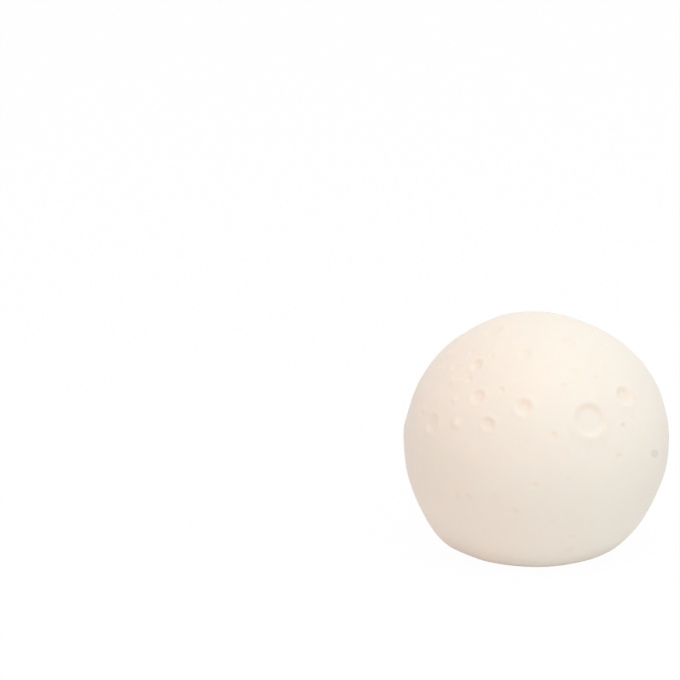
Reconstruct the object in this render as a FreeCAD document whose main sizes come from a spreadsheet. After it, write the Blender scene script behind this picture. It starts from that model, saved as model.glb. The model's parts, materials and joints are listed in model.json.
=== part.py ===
"""Moon lamp: a soft hollow ball with moulded craters, plugged onto a small battery light module.

The frame has its origin at the middle of the resting ring, +Z up and the front at -Y.
"""
import FreeCAD, Part
import math
import os
from types import SimpleNamespace

import Sketcher

DOC = FreeCAD.newDocument("MoonLamp")

# Driving dimensions in millimetres: name, value, what it is.
DIMENSIONS = (
    ("ball_radius", 50.0, "outside of the vinyl ball"),
    ("ball_wall", 2.8, "vinyl thickness"),
    ("foot_round", 8.0, "rounding between the ball and its flat resting ring"),
    ("foot_width", 3.0, "flat resting ring, outwards from the flange's recess"),
    ("neck_radius", 21.0, "hole in the underside of the ball"),
    ("neck_thickness", 2.6, "vinyl lip that the module snaps over"),
    ("great_width", 12.8, "rim diameter of the widest crater"),
    ("great_depth", 1.5, "its depth below the ball"),
    ("great_rim", 0.45, "its rim above the ball"),
    ("large_width", 7.8, "rim diameter of a large crater"),
    ("large_depth", 1.2, "its depth below the ball"),
    ("large_rim", 0.3, "its rim above the ball"),
    ("medium_width", 6.0, "rim diameter of a medium crater"),
    ("medium_depth", 1.0, "its depth below the ball"),
    ("medium_rim", 0.2, "its rim above the ball"),
    ("small_width", 4.4, "rim diameter of a small crater, which has no rim"),
    ("small_depth", 0.7, "its depth below the ball"),
    ("rim_spread", 1.4, "foot of a rim's outer flank over the rim itself"),
    ("floor_share", 0.6, "flat floor of a crater over its rim"),
    ("flange_lift", 0.4, "module's underside above the table"),
    ("flange_radius", 23.9, "module's flange"),
    ("flange_thickness", 1.4, "module's floor and flange"),
    ("flange_gap", 0.3, "flange to the recess in the ball, all round"),
    ("neck_gap", 0.2, "module's barrel to the neck"),
    ("housing_wall", 1.5, "wall of the module's barrel"),
    ("headroom", 3.3, "lid above the circuit board"),
    ("ridge_reach", 1.0, "snap ridge beyond the neck"),
    ("ridge_height", 2.0, "snap ridge along the barrel"),
    ("snap_gap", 0.1, "snap ridge above the vinyl lip"),
    ("cell_radius", 5.8, "LR44 button cell"),
    ("cell_height", 5.4, "LR44 button cell"),
    ("cap_radius", 4.9, "negative cap of a cell"),
    ("cap_height", 0.5, "negative cap of a cell"),
    ("cell_gap", 0.25, "cell to its pocket, all round"),
    ("cell_circle", 9.8, "middle of each cell from the lamp's axis"),
    ("contact_thickness", 0.3, "spring sheet of the contacts"),
    ("contact_width", 4.0, "strip of a contact"),
    ("dimple_radius", 1.6, "pressed dimple that touches a cell"),
    ("dimple_height", 0.4, "pressed dimple that touches a cell"),
    ("tab_width", 2.2, "solder tab of a contact"),
    ("tab_gap", 0.3, "contact to the plastic beside it"),
    ("roof_thickness", 1.2, "plastic over the cells"),
    ("block_wall", 1.2, "plastic round the cells"),
    ("door_margin", 1.5, "door beyond the cell pockets"),
    ("door_gap", 0.25, "door to its recess, all round"),
    ("recess_wall", 1.0, "plastic round the door's recess"),
    ("recess_wall_height", 1.6, "that wall above the door's seat"),
    ("well_radius", 2.3, "well of the screw head in the door"),
    ("well_depth", 1.1, "well of the screw head in the door"),
    ("hub_radius", 2.4, "hub on the door round the screw"),
    ("hub_height", 0.8, "hub on the door round the screw"),
    ("hub_gap", 0.3, "hub to its counterbore"),
    ("screw_radius", 1.15, "shank of the door screw"),
    ("screw_gap", 0.1, "shank to the holes it passes"),
    ("screw_length", 5.9, "shank below the head"),
    ("head_radius", 2.05, "head of the door screw"),
    ("head_height", 0.9, "head of the door screw"),
    ("cross_length", 2.4, "cross recess in a screw head"),
    ("cross_width", 0.6, "cross recess in a screw head"),
    ("cross_depth", 0.5, "cross recess in a screw head"),
    ("ring_radius", 2.0, "ring that keeps the door screw in the door"),
    ("ring_height", 0.4, "ring that keeps the door screw in the door"),
    ("switch_offset", 16.4, "switch from the lamp's axis, to the front"),
    ("travel", 2.0, "stroke of the switch"),
    ("knob_length", 3.2, "finger part of the knob"),
    ("knob_width", 2.0, "finger part of the knob"),
    ("knob_recess", 0.3, "knob's end inside the module's underside"),
    ("knob_gap", 0.2, "knob to the slot's sides and the floor it slides on"),
    ("stroke_gap", 0.3, "knob to the slot's ends"),
    ("slider_length", 8.0, "plate of the knob inside the module"),
    ("slider_width", 3.6, "plate of the knob inside the module"),
    ("slider_thickness", 1.0, "plate of the knob inside the module"),
    ("fork_height", 2.4, "fork of the knob that takes the lever"),
    ("fork_wall", 0.8, "fork of the knob that takes the lever"),
    ("finger_length", 11.0, "finger hollow round the knob"),
    ("finger_width", 3.8, "finger hollow round the knob"),
    ("finger_depth", 1.8, "finger hollow round the knob"),
    ("finger_wall", 1.2, "plastic over and beside the finger hollow"),
    ("switch_length", 8.6, "case of the slide switch"),
    ("switch_width", 3.6, "case of the slide switch"),
    ("switch_height", 3.5, "case of the slide switch"),
    ("lever_side", 1.5, "square lever of the slide switch"),
    ("lever_lift", 0.8, "lever's end above the plate of the knob"),
    ("lever_root", 0.8, "lever inside the case"),
    ("lever_gap", 0.1, "lever to the case and the fork"),
    ("pin_side", 0.5, "leads and pins"),
    ("pin_pitch", 2.0, "between the pins of the switch"),
    ("pin_end", 0.8, "pins beyond the board"),
    ("hole_gap", 0.1, "pins and tabs to their holes in the board"),
    ("board_radius", 18.6, "round circuit board"),
    ("board_thickness", 1.2, "round circuit board"),
    ("board_lift", 1.7, "board above the plastic over the cells"),
    ("board_boss_circle", 15.6, "board screws from the lamp's axis"),
    ("boss_radius", 2.0, "screw bosses of the housing"),
    ("boss_gap", 0.3, "board to the cover bosses"),
    ("small_screw_radius", 0.9, "shank of the board and cover screws"),
    ("small_screw_gap", 0.05, "that shank to its hole"),
    ("small_head_radius", 1.8, "head of the board and cover screws"),
    ("small_head_height", 1.1, "head of the board and cover screws"),
    ("small_screw_length", 6.0, "shank of the board and cover screws"),
    ("cover_boss_circle", 17.5, "cover screws from the lamp's axis"),
    ("cover_inset", 0.3, "lid inside the edge of the barrel"),
    ("cover_thickness", 1.4, "lid of the module"),
    ("collar_wall", 1.4, "collar round the LED"),
    ("collar_height", 1.6, "collar above the lid"),
    ("led_radius", 2.5, "5 mm wide-angle LED"),
    ("led_flange_radius", 2.9, "flange of the LED"),
    ("led_flange_height", 1.0, "flange of the LED"),
    ("led_height", 5.8, "LED from its base to its flat top"),
    ("led_dimple_radius", 1.9, "hollow cone in the LED's top, which spreads the light"),
    ("led_dimple_depth", 1.4, "hollow cone in the LED's top"),
    ("led_standoff", 1.0, "LED base above the board"),
    ("led_gap", 0.3, "LED to the hole in the lid"),
    ("lead_pitch", 2.54, "between the leads of the LED"),
    ("resistor_radius", 0.9, "body of the resistor"),
    ("resistor_length", 3.4, "body of the resistor"),
    ("resistor_lift", 0.1, "resistor above the board"),
    ("resistor_span", 6.6, "between the bent leads of the resistor"),
    ("resistor_offset", 8.0, "resistor from the lamp's axis"),
)

# Craters: longitude from the front, positive to the right, latitude above the ball's middle, size.
FRONT_CRATERS = (
    (25, 25, "great"),
    (50, 32, "large"),
    (-6, 33, "large"),
    (35, 64, "large"),
    (-61, 69, "large"),
    (-55, 19, "large"),
    (-31, 35, "medium"),
    (-22, 24, "medium"),
    (-41, 50, "medium"),
    (-6, 58, "medium"),
    (68, 56, "medium"),
    (24, 47, "small"),
    (7, 21, "small"),
    (-19, -8, "small"),
    (16, -30, "small"),
)
BACK_CRATERS = (
    (112, 18, "large"),
    (160, 40, "great"),
    (-150, 12, "large"),
    (-112, 38, "medium"),
    (140, -20, "medium"),
    (-118, -16, "small"),
    (-165, 62, "medium"),
    (108, -28, "small"),
    (-160, -28, "medium"),
)
CELL_ANGLES = (90, 210, 330)
BOARD_SCREW_ANGLES = (30, 150)
# The knob's end is divided into ribs and grooves by turns, a rib at each end.
GRIP_STRIPES = 7
# Decimal places that a sine, a cosine or a factor keeps in a formula.
DIGITS = 9


class Size:
    """A length worked out from the sheet: its value now, and the formula that binds it there."""

    def __init__(self, value, formula):
        self.value = value
        self.formula = formula

    def __add__(self, other):
        other = as_size(other)
        return Size(self.value + other.value, f"({self.formula} + {other.formula})")

    def __sub__(self, other):
        other = as_size(other)
        return Size(self.value - other.value, f"({self.formula} - {other.formula})")

    def __mul__(self, other):
        other = as_size(other)
        return Size(self.value * other.value, f"({self.formula} * {other.formula})")

    def __truediv__(self, other):
        other = as_size(other)
        return Size(self.value / other.value, f"({self.formula} / {other.formula})")

    def __rmul__(self, other):
        return as_size(other) * self

    def __neg__(self):
        return as_size(-1) * self


def as_size(number):
    """A Size as it is, or a plain number as a Size."""
    if isinstance(number, Size):
        return number
    return Size(float(number), f"({number})")


def root(amount):
    """The square root of a Size."""
    return Size(math.sqrt(amount.value), f"sqrt({amount.formula})")


def turned(x, y, degrees):
    """The point (x, y) turned about the origin."""
    c = math.cos(math.radians(degrees))
    s = math.sin(math.radians(degrees))
    c, s = round(c, DIGITS), round(s, DIGITS)
    return as_size(x) * c - as_size(y) * s, as_size(x) * s + as_size(y) * c


def fill_sheet():
    """The sheet of driving dimensions, and the same sizes by name."""
    sheet = DOC.addObject("Spreadsheet::Sheet", "sizes")
    named = {}
    for row, (alias, value, meaning) in enumerate(DIMENSIONS, start=1):
        sheet.set(f"A{row}", meaning)
        sheet.set(f"B{row}", str(value))
        sheet.setAlias(f"B{row}", alias)
        named[alias] = Size(value, f"sizes.{alias}")
    DOC.recompute()
    return SimpleNamespace(**named)


def bind(item, **properties):
    """Bind properties of an object to formulas of the sheet."""
    for name, amount in properties.items():
        item.setExpression(name, as_size(amount).formula)


def place(item, x, y, z):
    """Bind an object's place."""
    for axis, amount in zip("xyz", (x, y, z)):
        item.setExpression(f"Placement.Base.{axis}", as_size(amount).formula)


def cylinder(name, radius, height, x=0, y=0, z=0):
    """An upright cylinder that stands on its given point."""
    item = DOC.addObject("Part::Cylinder", name)
    bind(item, Radius=radius, Height=height)
    place(item, x, y, z)
    return item


def box(name, length, width, height, x=0, y=0, z=0, turn=0):
    """A box that stands on its given point, centred there and turned about it."""
    item = DOC.addObject("Part::Box", name)
    bind(item, Length=length, Width=width, Height=height)
    item.Placement.Rotation = FreeCAD.Rotation(FreeCAD.Vector(0, 0, 1), turn)
    half_x, half_y = turned(as_size(length) / 2, as_size(width) / 2, turn)
    place(item, as_size(x) - half_x, as_size(y) - half_y, z)
    return item


def fuse(name, *parts):
    """One solid from several."""
    item = DOC.addObject("Part::MultiFuse", name)
    item.Shapes = list(parts)
    return item


def cut(name, base, *tools):
    """A solid less its tools."""
    item = DOC.addObject("Part::Cut", name)
    item.Base = base
    item.Tool = tools[0] if len(tools) == 1 else fuse(f"{name}_tools", *tools)
    return item


def group(name, *parts):
    """Separate solids that share one node."""
    item = DOC.addObject("Part::Compound", name)
    item.Links = list(parts)
    return item


class Moulding:
    """A body whose sketches and features are added in turn."""

    def __init__(self, name):
        self.name = name
        self.body = DOC.addObject("PartDesign::Body", name)
        self.volume = 0.0

    def sketch(self, height=0, role="XY_Plane"):
        """A sketch on one of the body's own planes, lifted to a height."""
        count = len(self.body.Group)
        sketch = self.body.newObject("Sketcher::SketchObject", f"{self.name}_sketch_{count}")
        plane = next(p for p in self.body.Origin.OriginFeatures if p.Role == role)
        sketch.AttachmentSupport = [(plane, "")]
        sketch.MapMode = "FlatFace"
        sketch.setExpression("AttachmentOffset.Base.z", as_size(height).formula)
        return sketch

    def add(self, kind, sketch, **properties):
        """A feature on a sketch, which must change the body's volume."""
        count = len(self.body.Group)
        feature = self.body.newObject(f"PartDesign::{kind}", f"{self.name}_{kind}_{count}")
        feature.Profile = sketch
        for name, value in properties.items():
            if isinstance(value, Size):
                feature.setExpression(name, value.formula)
            else:
                setattr(feature, name, value)
        self.check(feature, grows=kind in ("Pad", "Revolution"))
        return feature

    def check(self, feature, grows):
        """A feature that points away from the solid changes nothing, so the volumes are compared."""
        DOC.recompute()
        volume = self.body.Shape.Volume
        if (volume > self.volume + 1e-6) != grows:
            raise RuntimeError(f"{feature.Name} leaves the volume of {self.name} at {volume}")
        self.volume = volume

    def pad(self, sketch, height):
        """Material above a sketch."""
        return self.add("Pad", sketch, Length=as_size(height))

    def pocket(self, sketch, height):
        """A hollow above a sketch."""
        return self.add("Pocket", sketch, Length=as_size(height), Reversed=True)

    def revolve(self, sketch):
        """A full turn of a sketch about its upright axis."""
        return self.add("Revolution", sketch, ReferenceAxis=(sketch, ["V_Axis"]), Angle=360.0)

    def round_array(self, feature, sketch, grows):
        """Three of a feature, evenly about the lamp's axis."""
        count = len(self.body.Group)
        array = self.body.newObject("PartDesign::PolarPattern", f"{self.name}_array_{count}")
        array.Originals = [feature]
        array.Axis = (sketch, ["N_Axis"])
        array.Angle = 360.0
        array.Occurrences = len(CELL_ANGLES)
        self.body.Tip = array
        self.check(array, grows)


def pin_point(sketch, geometry, end, x, y):
    """Bind one point of a sketch to its place."""
    for kind, amount in (("DistanceX", x), ("DistanceY", y)):
        amount = as_size(amount)
        index = sketch.addConstraint(Sketcher.Constraint(kind, -1, 1, geometry, end, amount.value))
        sketch.setExpression(f"Constraints[{index}]", amount.formula)


def circle(sketch, radius, x=0, y=0):
    """A circle whose radius and centre are bound."""
    radius, x, y = as_size(radius), as_size(x), as_size(y)
    centre = FreeCAD.Vector(x.value, y.value, 0)
    index = sketch.addGeometry(Part.Circle(centre, FreeCAD.Vector(0, 0, 1), radius.value))
    pin_point(sketch, index, 3, x, y)
    bound = sketch.addConstraint(Sketcher.Constraint("Radius", index, radius.value))
    sketch.setExpression(f"Constraints[{bound}]", radius.formula)


def outline(sketch, corners):
    """A closed outline through its corners.

    A corner is (x, y), or (x, y, radius, side) where the edge that ends there is an arc; its
    centre lies to the left of the way there for side 1 and to the right for side -1.
    """
    corners = [tuple(as_size(n) for n in corner[:3]) + tuple(corner[3:]) for corner in corners]
    edges = []
    for start, end in zip([corners[-1]] + corners[:-1], corners):
        a = FreeCAD.Vector(start[0].value, start[1].value, 0)
        b = FreeCAD.Vector(end[0].value, end[1].value, 0)
        if len(end) == 2:
            edges.append(sketch.addGeometry(Part.LineSegment(a, b)))
            pin_point(sketch, edges[-1], 2, end[0], end[1])
            continue
        radius, side = end[2], end[3]
        along = (b - a).normalize()
        left = FreeCAD.Vector(-along.y, along.x, 0) * side
        half = (b - a).Length / 2
        centre = (a + b) / 2 + left * math.sqrt(max(radius.value**2 - half**2, 0))
        middle = centre - left * radius.value
        edges.append(sketch.addGeometry(Part.Arc(a, middle, b)))
        last = 2 if side == 1 else 1
        pin_point(sketch, edges[-1], last, end[0], end[1])
        bound = sketch.addConstraint(Sketcher.Constraint("Radius", edges[-1], radius.value))
        sketch.setExpression(f"Constraints[{bound}]", radius.formula)
    for index, corner in enumerate(corners):
        following = corners[(index + 1) % len(corners)]
        this_end = 1 if len(corner) > 2 and corner[3] == -1 else 2
        next_start = 2 if len(following) > 2 and following[3] == -1 else 1
        next_edge = edges[(index + 1) % len(edges)]
        join = Sketcher.Constraint("Coincident", edges[index], this_end, next_edge, next_start)
        sketch.addConstraint(join)


def rectangle(sketch, length, width, x=0, y=0):
    """A rectangle about a centre."""
    half_x, half_y = as_size(length) / 2, as_size(width) / 2
    x, y = as_size(x), as_size(y)
    outline(sketch, (
        (x - half_x, y - half_y),
        (x + half_x, y - half_y),
        (x + half_x, y + half_y),
        (x - half_x, y + half_y),
    ))


def cell_triangle(sketch, corner_radius):
    """A triangle with rounded corners about the three cells."""
    corners = []
    for angle in CELL_ANGLES:
        middle = turned(size.cell_circle, 0, angle)
        for side in (-60, 60):
            reach = turned(corner_radius, 0, angle + side)
            point = (middle[0] + reach[0], middle[1] + reach[1])
            corners.append(point if side < 0 else point + (corner_radius, 1))
    outline(sketch, corners)


size = fill_sheet()

# Heights above the table, from the bottom up.
recess_depth = size.flange_lift + size.flange_thickness
lip_top = recess_depth + size.neck_thickness
seat = size.flange_lift + size.flange_thickness
cell_bottom = seat + size.contact_thickness + size.dimple_height
cell_top = cell_bottom + size.cell_height
roof = cell_top + size.dimple_height + size.contact_thickness
block_top = roof + size.roof_thickness
board_bottom = block_top + size.board_lift
board_top = board_bottom + size.board_thickness
pin_top = board_top + size.pin_end
housing_top = board_top + size.headroom
cover_top = housing_top + size.cover_thickness
led_base = board_top + size.led_standoff
finger_roof = size.flange_lift + size.finger_depth
finger_top = finger_roof + size.finger_wall
slider_bottom = finger_top + size.knob_gap
slider_top = slider_bottom + size.slider_thickness
switch_bottom = board_bottom - size.switch_height
lever_bottom = slider_top + size.lever_lift

# Radii from the lamp's axis, and from the middle of a cell.
recess_radius = size.flange_radius + size.flange_gap
foot_radius = recess_radius + size.foot_width
barrel_radius = size.neck_radius - size.neck_gap
bore_radius = barrel_radius - size.housing_wall
pocket_radius = size.cell_radius + size.cell_gap
door_corner = pocket_radius + size.door_margin
recess_corner = door_corner + size.door_gap
switch_y = -size.switch_offset
pilot_radius = size.screw_radius + size.screw_gap
small_pilot = size.small_screw_radius + size.small_screw_gap

# The rounding of the foot touches the ball from inside, which sets how high the ball stands.
round_reach = size.ball_radius - size.foot_round
round_drop = root(round_reach * round_reach - foot_radius * foot_radius)
ball_middle = size.foot_round + round_drop


def ball_blank():
    """The hollow ball before its craters: a turned section with the foot, recess and neck."""
    blank = Moulding("ball_blank")
    sketch = blank.sketch(role="XZ_Plane")
    share = size.ball_radius / round_reach
    inner_radius = size.ball_radius - size.ball_wall
    drop = ball_middle - lip_top
    outline(sketch, (
        (0, ball_middle + inner_radius),
        (root(inner_radius * inner_radius - drop * drop), lip_top, inner_radius, -1),
        (size.neck_radius, lip_top),
        (size.neck_radius, recess_depth),
        (recess_radius, recess_depth),
        (recess_radius, 0),
        (foot_radius, 0),
        (share * foot_radius, ball_middle - share * round_drop, size.foot_round, 1),
        (0, ball_middle + size.ball_radius, size.ball_radius, 1),
    ))
    blank.revolve(sketch)
    return blank.body


def crater_tools(index, longitude, latitude, kind):
    """The raised cone and the hollow cone of one crater, both on its own radius of the ball."""
    rim = getattr(size, f"{kind}_width") / 2
    lift = as_size(0) if kind == "small" else getattr(size, f"{kind}_rim")
    ball = size.ball_radius
    east, north = math.radians(longitude), math.radians(latitude)
    way = FreeCAD.Vector(
        round(math.cos(north) * math.sin(east), DIGITS),
        round(-math.cos(north) * math.cos(east), DIGITS),
        round(math.sin(north), DIGITS),
    )

    def cone(name, inner, outer, inner_height, outer_height):
        item = DOC.addObject("Part::Cone", f"{name}_{index}")
        bind(item, Radius1=inner, Radius2=outer, Height=outer_height - inner_height)
        item.Placement.Rotation = FreeCAD.Rotation(FreeCAD.Vector(0, 0, 1), way)
        along = (inner_height * way.x, inner_height * way.y, inner_height * way.z)
        place(item, along[0], along[1], along[2] + ball_middle)
        return item

    crest = root(ball * ball - rim * rim) + lift
    lowest = ball - getattr(size, f"{kind}_depth")
    floor = rim * size.floor_share
    above = (crest - lowest) / 2
    widening = (rim - floor) / (crest - lowest)
    hollow = cone("hollow", floor, rim + widening * above, lowest, crest + above)
    if kind == "small":
        return None, hollow
    foot = rim * size.rim_spread
    foot_height = root(ball * ball - foot * foot)
    slope = (foot - rim) / (crest - foot_height)
    spare = lift / 4
    raised = cone("rim", foot + slope * lift, rim - slope * spare, foot_height - lift, crest + spare)
    return raised, hollow


def moon_shade():
    """The vinyl ball with its craters: the rims are added first, and then the hollows are cut."""
    tools = [crater_tools(i, *c) for i, c in enumerate(FRONT_CRATERS + BACK_CRATERS)]
    raised_ball = fuse("raised_ball", ball_blank(), *[raised for raised, hollow in tools if raised])
    return cut("moon_shade", raised_ball, *[hollow for raised, hollow in tools])


def base_housing():
    """The moulded light module: flange, barrel, snap ridge, battery block and screw bosses."""
    housing = Moulding("base_housing")
    lift = size.flange_lift
    ridge = size.neck_radius + size.ridge_reach
    ridge_bottom = lip_top + size.snap_gap
    sketch = housing.sketch(role="XZ_Plane")
    outline(sketch, (
        (0, lift),
        (size.flange_radius, lift),
        (size.flange_radius, seat),
        (barrel_radius, seat),
        (barrel_radius, ridge_bottom),
        (ridge, ridge_bottom),
        (barrel_radius, ridge_bottom + size.ridge_height),
        (barrel_radius, housing_top),
        (bore_radius, housing_top),
        (bore_radius, seat),
        (0, seat),
    ))
    housing.revolve(sketch)

    sketch = housing.sketch(lift)
    cell_triangle(sketch, recess_corner + size.recess_wall)
    housing.pad(sketch, size.flange_thickness + size.recess_wall_height)
    sketch = housing.sketch(lift)
    cell_triangle(sketch, pocket_radius + size.block_wall)
    housing.pad(sketch, block_top - lift)
    sketch = housing.sketch(lift)
    rectangle(
        sketch,
        size.finger_length + 2 * size.finger_wall,
        size.finger_width + 2 * size.finger_wall,
        0,
        switch_y,
    )
    housing.pad(sketch, finger_top - lift)
    sketch = housing.sketch(lift)
    for angle in BOARD_SCREW_ANGLES:
        circle(sketch, size.boss_radius, *turned(size.board_boss_circle, 0, angle))
    housing.pad(sketch, board_bottom - lift)
    sketch = housing.sketch(lift)
    circle(sketch, size.boss_radius, *turned(size.cover_boss_circle, 0, CELL_ANGLES[0]))
    boss = housing.pad(sketch, housing_top - lift)
    housing.round_array(boss, sketch, grows=True)

    sketch = housing.sketch(lift)
    cell_triangle(sketch, recess_corner)
    housing.pocket(sketch, size.flange_thickness)
    sketch = housing.sketch(seat)
    circle(sketch, pocket_radius, *turned(size.cell_circle, 0, CELL_ANGLES[0]))
    cell_pocket = housing.pocket(sketch, roof - seat)
    housing.round_array(cell_pocket, sketch, grows=False)
    sketch = housing.sketch(seat)
    circle(sketch, size.hub_radius + size.hub_gap)
    counterbore = size.hub_height + size.ring_height + 2 * size.hub_gap
    housing.pocket(sketch, counterbore)
    sketch = housing.sketch(seat)
    circle(sketch, pilot_radius)
    housing.pocket(sketch, size.screw_length)
    sketch = housing.sketch(lift)
    rectangle(sketch, size.finger_length, size.finger_width, 0, switch_y)
    housing.pocket(sketch, size.finger_depth)
    sketch = housing.sketch(lift)
    slot_length = size.knob_length + size.travel + 2 * size.stroke_gap
    rectangle(sketch, slot_length, size.knob_width + 2 * size.knob_gap, 0, switch_y)
    housing.pocket(sketch, finger_top - lift)

    sketch = housing.sketch(board_bottom - size.small_screw_length)
    for angle in BOARD_SCREW_ANGLES:
        circle(sketch, small_pilot, *turned(size.board_boss_circle, 0, angle))
    housing.pocket(sketch, size.small_screw_length)
    sketch = housing.sketch(housing_top - size.small_screw_length)
    circle(sketch, small_pilot, *turned(size.cover_boss_circle, 0, CELL_ANGLES[0]))
    pilot = housing.pocket(sketch, size.small_screw_length)
    housing.round_array(pilot, sketch, grows=False)
    return cut("housing_with_slots", housing.body, *contact_slots())


def cell_place(index):
    """The middle of a cell."""
    return turned(size.cell_circle, 0, CELL_ANGLES[index])


def between_cells(first, second):
    """The middle point, length and direction of the line between two cells."""
    a, b = cell_place(first), cell_place(second)
    turn = math.degrees(math.atan2((b[1] - a[1]).value, (b[0] - a[0]).value))
    return (a[0] + b[0]) / 2, (a[1] + b[1]) / 2, size.cell_circle * round(math.sqrt(3), DIGITS), turn


def tab_place():
    """The solder tab of the negative contact, at the outer side of cell 1."""
    radius = size.cell_circle + size.contact_width
    return turned(radius, 0, CELL_ANGLES[0])


def leaf_place():
    """The positive leaf, which rests against the side of cell 3."""
    x, y = cell_place(2)
    reach = turned(size.cell_radius + size.contact_thickness / 2, 0, CELL_ANGLES[2] + 60)
    return x + reach[0], y + reach[1]


def contact_slots():
    """Channels and slots of the housing that the contacts lie in and pass through."""
    gap = 2 * size.tab_gap
    channel = size.contact_width + gap
    x, y, length, turn = between_cells(0, 1)
    door_side = box(
        "door_side_channel", length, channel, size.contact_thickness + size.tab_gap, x, y, seat, turn
    )
    x, y, length, turn = between_cells(1, 2)
    depth = size.contact_thickness + size.tab_gap
    roof_side = box("roof_side_channel", length, channel, depth, x, y, roof - depth, turn)
    x, y = tab_place()
    tab_slot = box(
        "tab_slot",
        size.contact_thickness + gap,
        size.tab_width + gap,
        block_top - roof,
        x,
        y,
        roof,
        CELL_ANGLES[0],
    )
    x, y = leaf_place()
    leaf_slot = box(
        "leaf_slot",
        size.contact_thickness + gap,
        size.tab_width + gap,
        block_top - cell_bottom,
        x,
        y,
        cell_bottom,
        CELL_ANGLES[2] + 60,
    )
    return door_side, roof_side, tab_slot, leaf_slot


def housing_cover():
    """The lid of the module: a disc with a collar for the LED and three screw holes."""
    cover = Moulding("housing_cover")
    hole = size.led_radius + size.led_gap
    sketch = cover.sketch(housing_top)
    circle(sketch, barrel_radius - size.cover_inset)
    cover.pad(sketch, size.cover_thickness)
    sketch = cover.sketch(cover_top)
    circle(sketch, hole + size.collar_wall)
    cover.pad(sketch, size.collar_height)
    sketch = cover.sketch(housing_top)
    circle(sketch, hole)
    cover.pocket(sketch, size.cover_thickness + size.collar_height)
    sketch = cover.sketch(housing_top)
    circle(sketch, small_pilot, *turned(size.cover_boss_circle, 0, CELL_ANGLES[0]))
    screw_hole = cover.pocket(sketch, size.cover_thickness)
    cover.round_array(screw_hole, sketch, grows=False)
    return cover.body


def small_screw(name, x, y, head_seat):
    """A small screw whose head rests on a seat and whose shank points down."""
    head = cylinder(f"{name}_head", size.small_head_radius, size.small_head_height, x, y, head_seat)
    shank = cylinder(
        f"{name}_shank",
        size.small_screw_radius,
        size.small_screw_length,
        x,
        y,
        head_seat - size.small_screw_length,
    )
    return fuse(name, head, shank)


def cover_screws():
    """The lid's screws."""
    places = [turned(size.cover_boss_circle, 0, angle) for angle in CELL_ANGLES]
    screws = [small_screw(f"cover_screw_{i}", x, y, cover_top) for i, (x, y) in enumerate(places)]
    return group("cover_screws", *screws)


def board_screws():
    """The circuit board's screws."""
    places = [turned(size.board_boss_circle, 0, angle) for angle in BOARD_SCREW_ANGLES]
    screws = [small_screw(f"board_screw_{i}", x, y, board_top) for i, (x, y) in enumerate(places)]
    return group("board_screws", *screws)


def lead_holes():
    """Where pins pass the board: LED leads, switch pins and resistor leads."""
    led = [(size.lead_pitch * side, as_size(0)) for side in (-0.5, 0.5)]
    switch = [(size.pin_pitch * step, switch_y) for step in (-1, 0, 1)]
    resistor = [(size.resistor_offset, size.resistor_span * side) for side in (-0.5, 0.5)]
    return led, switch, resistor


def circuit_board():
    """The round board: notches for the lid's bosses, screw holes, pin holes and tab slots."""
    board = Moulding("board_blank")
    sketch = board.sketch(board_bottom)
    circle(sketch, size.board_radius)
    board.pad(sketch, size.board_thickness)
    sketch = board.sketch(board_bottom)
    notch = size.boss_radius + size.boss_gap
    circle(sketch, notch, *turned(size.cover_boss_circle, 0, CELL_ANGLES[0]))
    notches = board.pocket(sketch, size.board_thickness)
    board.round_array(notches, sketch, grows=False)
    gap = 2 * size.hole_gap
    sketch = board.sketch(board_bottom)
    for angle in BOARD_SCREW_ANGLES:
        circle(sketch, small_pilot, *turned(size.board_boss_circle, 0, angle))
    for places in lead_holes():
        for x, y in places:
            rectangle(sketch, size.pin_side + gap, size.pin_side + gap, x, y)
    board.pocket(sketch, size.board_thickness)
    slots = []
    for index, (x, y), turn in (
        (0, tab_place(), CELL_ANGLES[0]),
        (1, leaf_place(), CELL_ANGLES[2] + 60),
    ):
        slots.append(box(
            f"board_slot_{index}",
            size.contact_thickness + gap,
            size.tab_width + gap,
            size.board_thickness,
            x,
            y,
            board_bottom,
            turn,
        ))
    return cut("circuit_board", board.body, *slots)


def led_lens():
    """The LED's moulded body: flange, round body and flat top with a hollow cone."""
    lens = Moulding("led_lens")
    sketch = lens.sketch(role="XZ_Plane")
    top = led_base + size.led_height
    outline(sketch, (
        (0, led_base),
        (size.led_flange_radius, led_base),
        (size.led_flange_radius, led_base + size.led_flange_height),
        (size.led_radius, led_base + size.led_flange_height),
        (size.led_radius, top),
        (size.led_dimple_radius, top),
        (0, top - size.led_dimple_depth),
    ))
    lens.revolve(sketch)
    return lens.body


def led_leads():
    """The two leads of the LED, through the board."""
    bottom = board_bottom - size.pin_end
    leads = [
        box(f"led_lead_{i}", size.pin_side, size.pin_side, led_base - bottom, x, y, bottom)
        for i, (x, y) in enumerate(lead_holes()[0])
    ]
    return group("led_leads", *leads)


def resistor():
    """The series resistor, which lies on the board, and its two bent leads."""
    height = board_top + size.resistor_lift + size.resistor_radius
    half = size.resistor_length / 2
    body = DOC.addObject("Part::Cylinder", "resistor_body")
    bind(body, Radius=size.resistor_radius, Height=size.resistor_length)
    body.Placement.Rotation = FreeCAD.Rotation(FreeCAD.Vector(1, 0, 0), -90)
    place(body, size.resistor_offset, -half, height)
    leads = []
    side = size.pin_side
    bottom = board_bottom - size.pin_end
    for index, (x, y) in enumerate(lead_holes()[2]):
        toward = -1 if index == 0 else 1
        run = size.resistor_span / 2 - half
        lying = box(f"resistor_run_{index}", side, run, side, x, toward * (half + run / 2), height - side / 2)
        leg = box(f"resistor_leg_{index}", side, side, height + side / 2 - bottom, x, y, bottom)
        leads.append(fuse(f"resistor_lead_{index}", lying, leg))
    return body, group("resistor_leads", *leads)


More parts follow.
